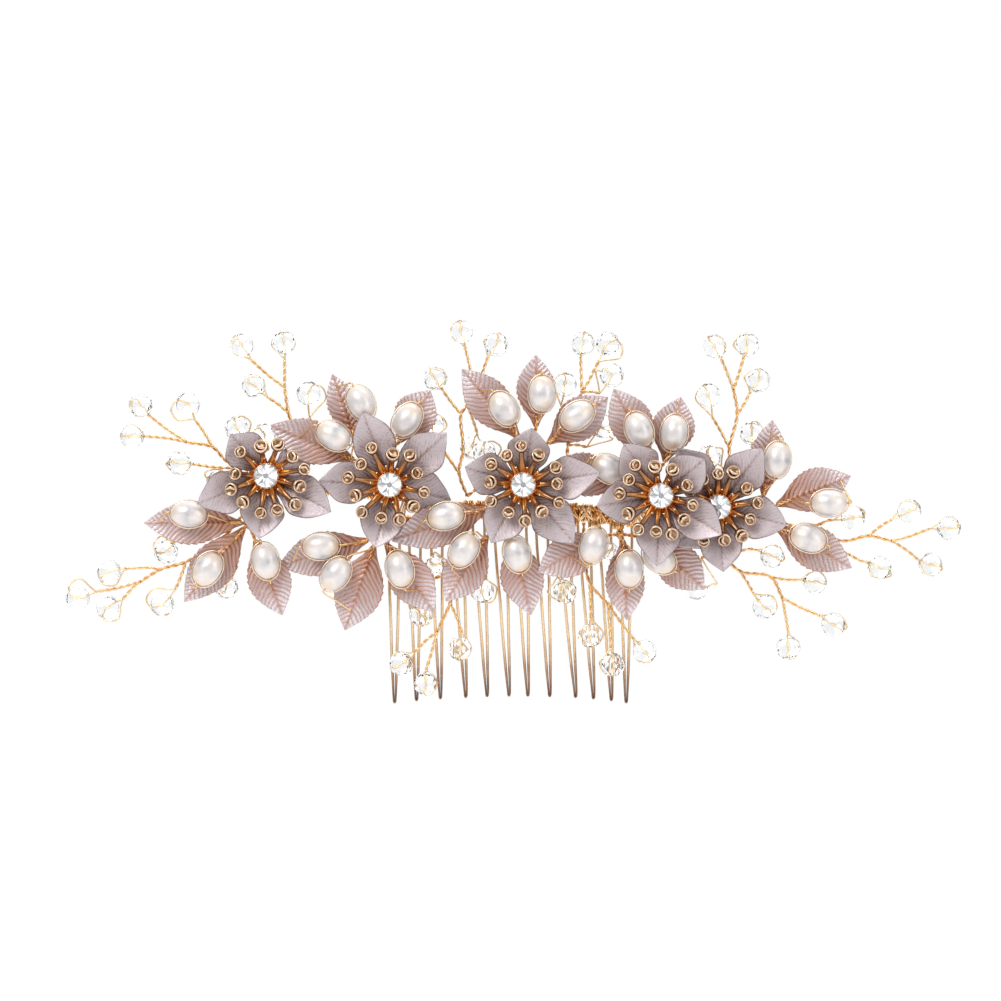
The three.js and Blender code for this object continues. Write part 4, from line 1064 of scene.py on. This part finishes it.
piece("comb_teeth_and_spine", comb_wires, COMB, "comb_wire", "comb_wire")
piece("spine_binding", bindings, GOLD, "gold_wire", "binding_wire")
piece("backbone_twist", backbone, GOLD, "gold_wire", "backbone_wire")


def all_petals(flower):
    def fill(build):
        x, y, z = flower["centre"]
        for k, (tip_x, tip_z, lean) in enumerate(flower["petals"]):
            cup = PETAL_CUP if lean > 0 else PETAL_CUP_TUCKED
            petal(build, [x, y, z], [tip_x, y - lean, tip_z], cup, 1.7 * k + x)
    return fill


for i, flower in enumerate(FLOWERS, 1):
    piece(f"flower_{i}_petal_sheets", all_petals(flower), PETAL, "petal", f"flower_{i}_petals")
    piece(f"flower_{i}_back_and_tie", lambda build: flower_stem(build, flower), GOLD, "gold_wire")
    piece(f"flower_{i}_stamen_crown", lambda build: stamens(build, flower), STAMEN, "stamen",
          f"flower_{i}_stamens")
    piece(f"flower_{i}_stone_setting", lambda build: setting(build, flower), GOLD, "gold_wire")
    piece(f"flower_{i}_stone", lambda build: rhinestone(build, flower), STONE, "rhinestone",
          f"flower_{i}_rhinestone")


def spray_leaves(spray):
    def fill(build):
        for k, item in enumerate(spray["leaves"]):
            leaf_surface(build, item, k)
    return fill


for i, spray in enumerate(SPRAYS, 1):
    piece(f"spray_{i}_leaves", spray_leaves(spray), LEAF, "leaf", f"leaf_spray_{i}")
    piece(f"spray_{i}_wires", lambda build: spray_wires(build, spray), GOLD, "gold_wire")
    for j, item in enumerate(spray["leaves"], 1):
        node = f"pearl_{i}_{j}"
        piece(f"{node}_nacre", lambda build: pearl_form(build, item), PEARL, "pearl", node, node)

for i, item in enumerate(SPRIGS, 1):
    wires, beads = Build(), Build()
    sprig(wires, beads, item, i)
    wires.make(f"sprig_{i}_wires", GOLD, HOLDER, "gold_wire")
    beads.make(f"sprig_{i}_crystals", CRYSTAL, HOLDER, "crystal", f"crystal_sprig_{i}")

# ---- floor, light and camera ----------------------------

FLOOR_DROP = 0.104
FLOOR_HALF = 0.6
SEEN_THROUGH_GLASS = 0.95


def floor():
    mesh = bpy.data.meshes.new("studio_floor")
    build = bmesh.new()
    corners = [(-1, -1), (1, -1), (1, 1), (-1, 1)]
    build.faces.new([build.verts.new((x * FLOOR_HALF, y * FLOOR_HALF, -FLOOR_DROP)) for x, y in corners])
    build.to_mesh(mesh)
    build.free()
    plane = bpy.data.objects.new("studio_floor", mesh)
    bpy.context.scene.collection.objects.link(plane)
    nodes = MaterialNodes("studio_white")
    paper = nodes.ramp(nodes.noise(6), [(0.3, "f6f6f6"), (0.7, "fafafa")])
    nodes.link(paper, nodes.shader.inputs["Base Color"])
    nodes.set(Roughness=0.9, Specular_IOR_Level=0.1)
    mesh.materials.append(nodes.material)


# Each light's name, place, size and power. All of them point at the origin.
LIGHTS = [
    ("key", (-0.35, -0.6, 0.5), (0.45, 0.45), 3.1),
    ("fill", (0.6, -0.5, 0.1), (0.4, 0.6), 1.3),
    ("top", (0.1, 0.15, 0.6), (0.7, 0.3), 1.3),
    ("back", (-0.2, 0.6, 0.25), (0.5, 0.4), 0.8),
]


def area_light(name, place, size, power):
    light = bpy.data.lights.new(name, "AREA")
    light.shape = "RECTANGLE"
    light.size, light.size_y = size
    light.energy = power
    lamp = bpy.data.objects.new(name, light)
    lamp.location = place
    lamp.rotation_euler = (-Vector(place)).to_track_quat("-Z", "Y").to_euler()
    bpy.context.scene.collection.objects.link(lamp)


def white_world():
    """White to the eye and through glass. Reflections see a softer studio, dark towards the floor."""
    world = bpy.data.worlds.new("studio")
    bpy.context.scene.world = world
    nodes = Nodes(world)
    split = nodes.node("ShaderNodeSeparateXYZ")
    nodes.link(nodes.node("ShaderNodeTexCoord").outputs["Generated"], split.inputs["Vector"])
    height = nodes.math("ADD", nodes.math("MULTIPLY", split.outputs["Z"], 0.5), 0.5)
    studio = nodes.ramp(height, [(0.0, 0.5), (0.4, 0.3), (0.58, 0.6), (1.0, 1.1)])
    path = nodes.node("ShaderNodeLightPath")
    through = nodes.math("MULTIPLY", path.outputs["Is Transmission Ray"], SEEN_THROUGH_GLASS)
    seen = nodes.math("MAXIMUM", path.outputs["Is Camera Ray"], through)
    mix = nodes.node("ShaderNodeMix", data_type="RGBA")
    nodes.link(seen, mix.inputs["Factor"])
    nodes.link(studio, mix.inputs["A"])
    mix.inputs["B"].default_value = (1, 1, 1, 1)
    nodes.link(mix.outputs["Result"], nodes.tree.nodes["Background"].inputs["Color"])


CAMERA_DISTANCE = 1.3
CAMERA_AIM = Vector((-0.0019, -0.006, 0.0029))
SIGHT_WIDTH = 0.2002


def camera():
    data = bpy.data.cameras.new("camera")
    data.sensor_width = 36
    data.lens = data.sensor_width * CAMERA_DISTANCE / SIGHT_WIDTH
    data.clip_start = 0.01
    eye = bpy.data.objects.new("camera", data)
    eye.location = CAMERA_AIM - Vector((0, CAMERA_DISTANCE, 0))
    eye.rotation_euler = (math.pi / 2, 0, 0)
    bpy.context.scene.collection.objects.link(eye)
    bpy.context.scene.camera = eye


floor()
white_world()
for light in LIGHTS:
    area_light(*light)
camera()
bpy.context.scene.view_settings.view_transform = "Standard"
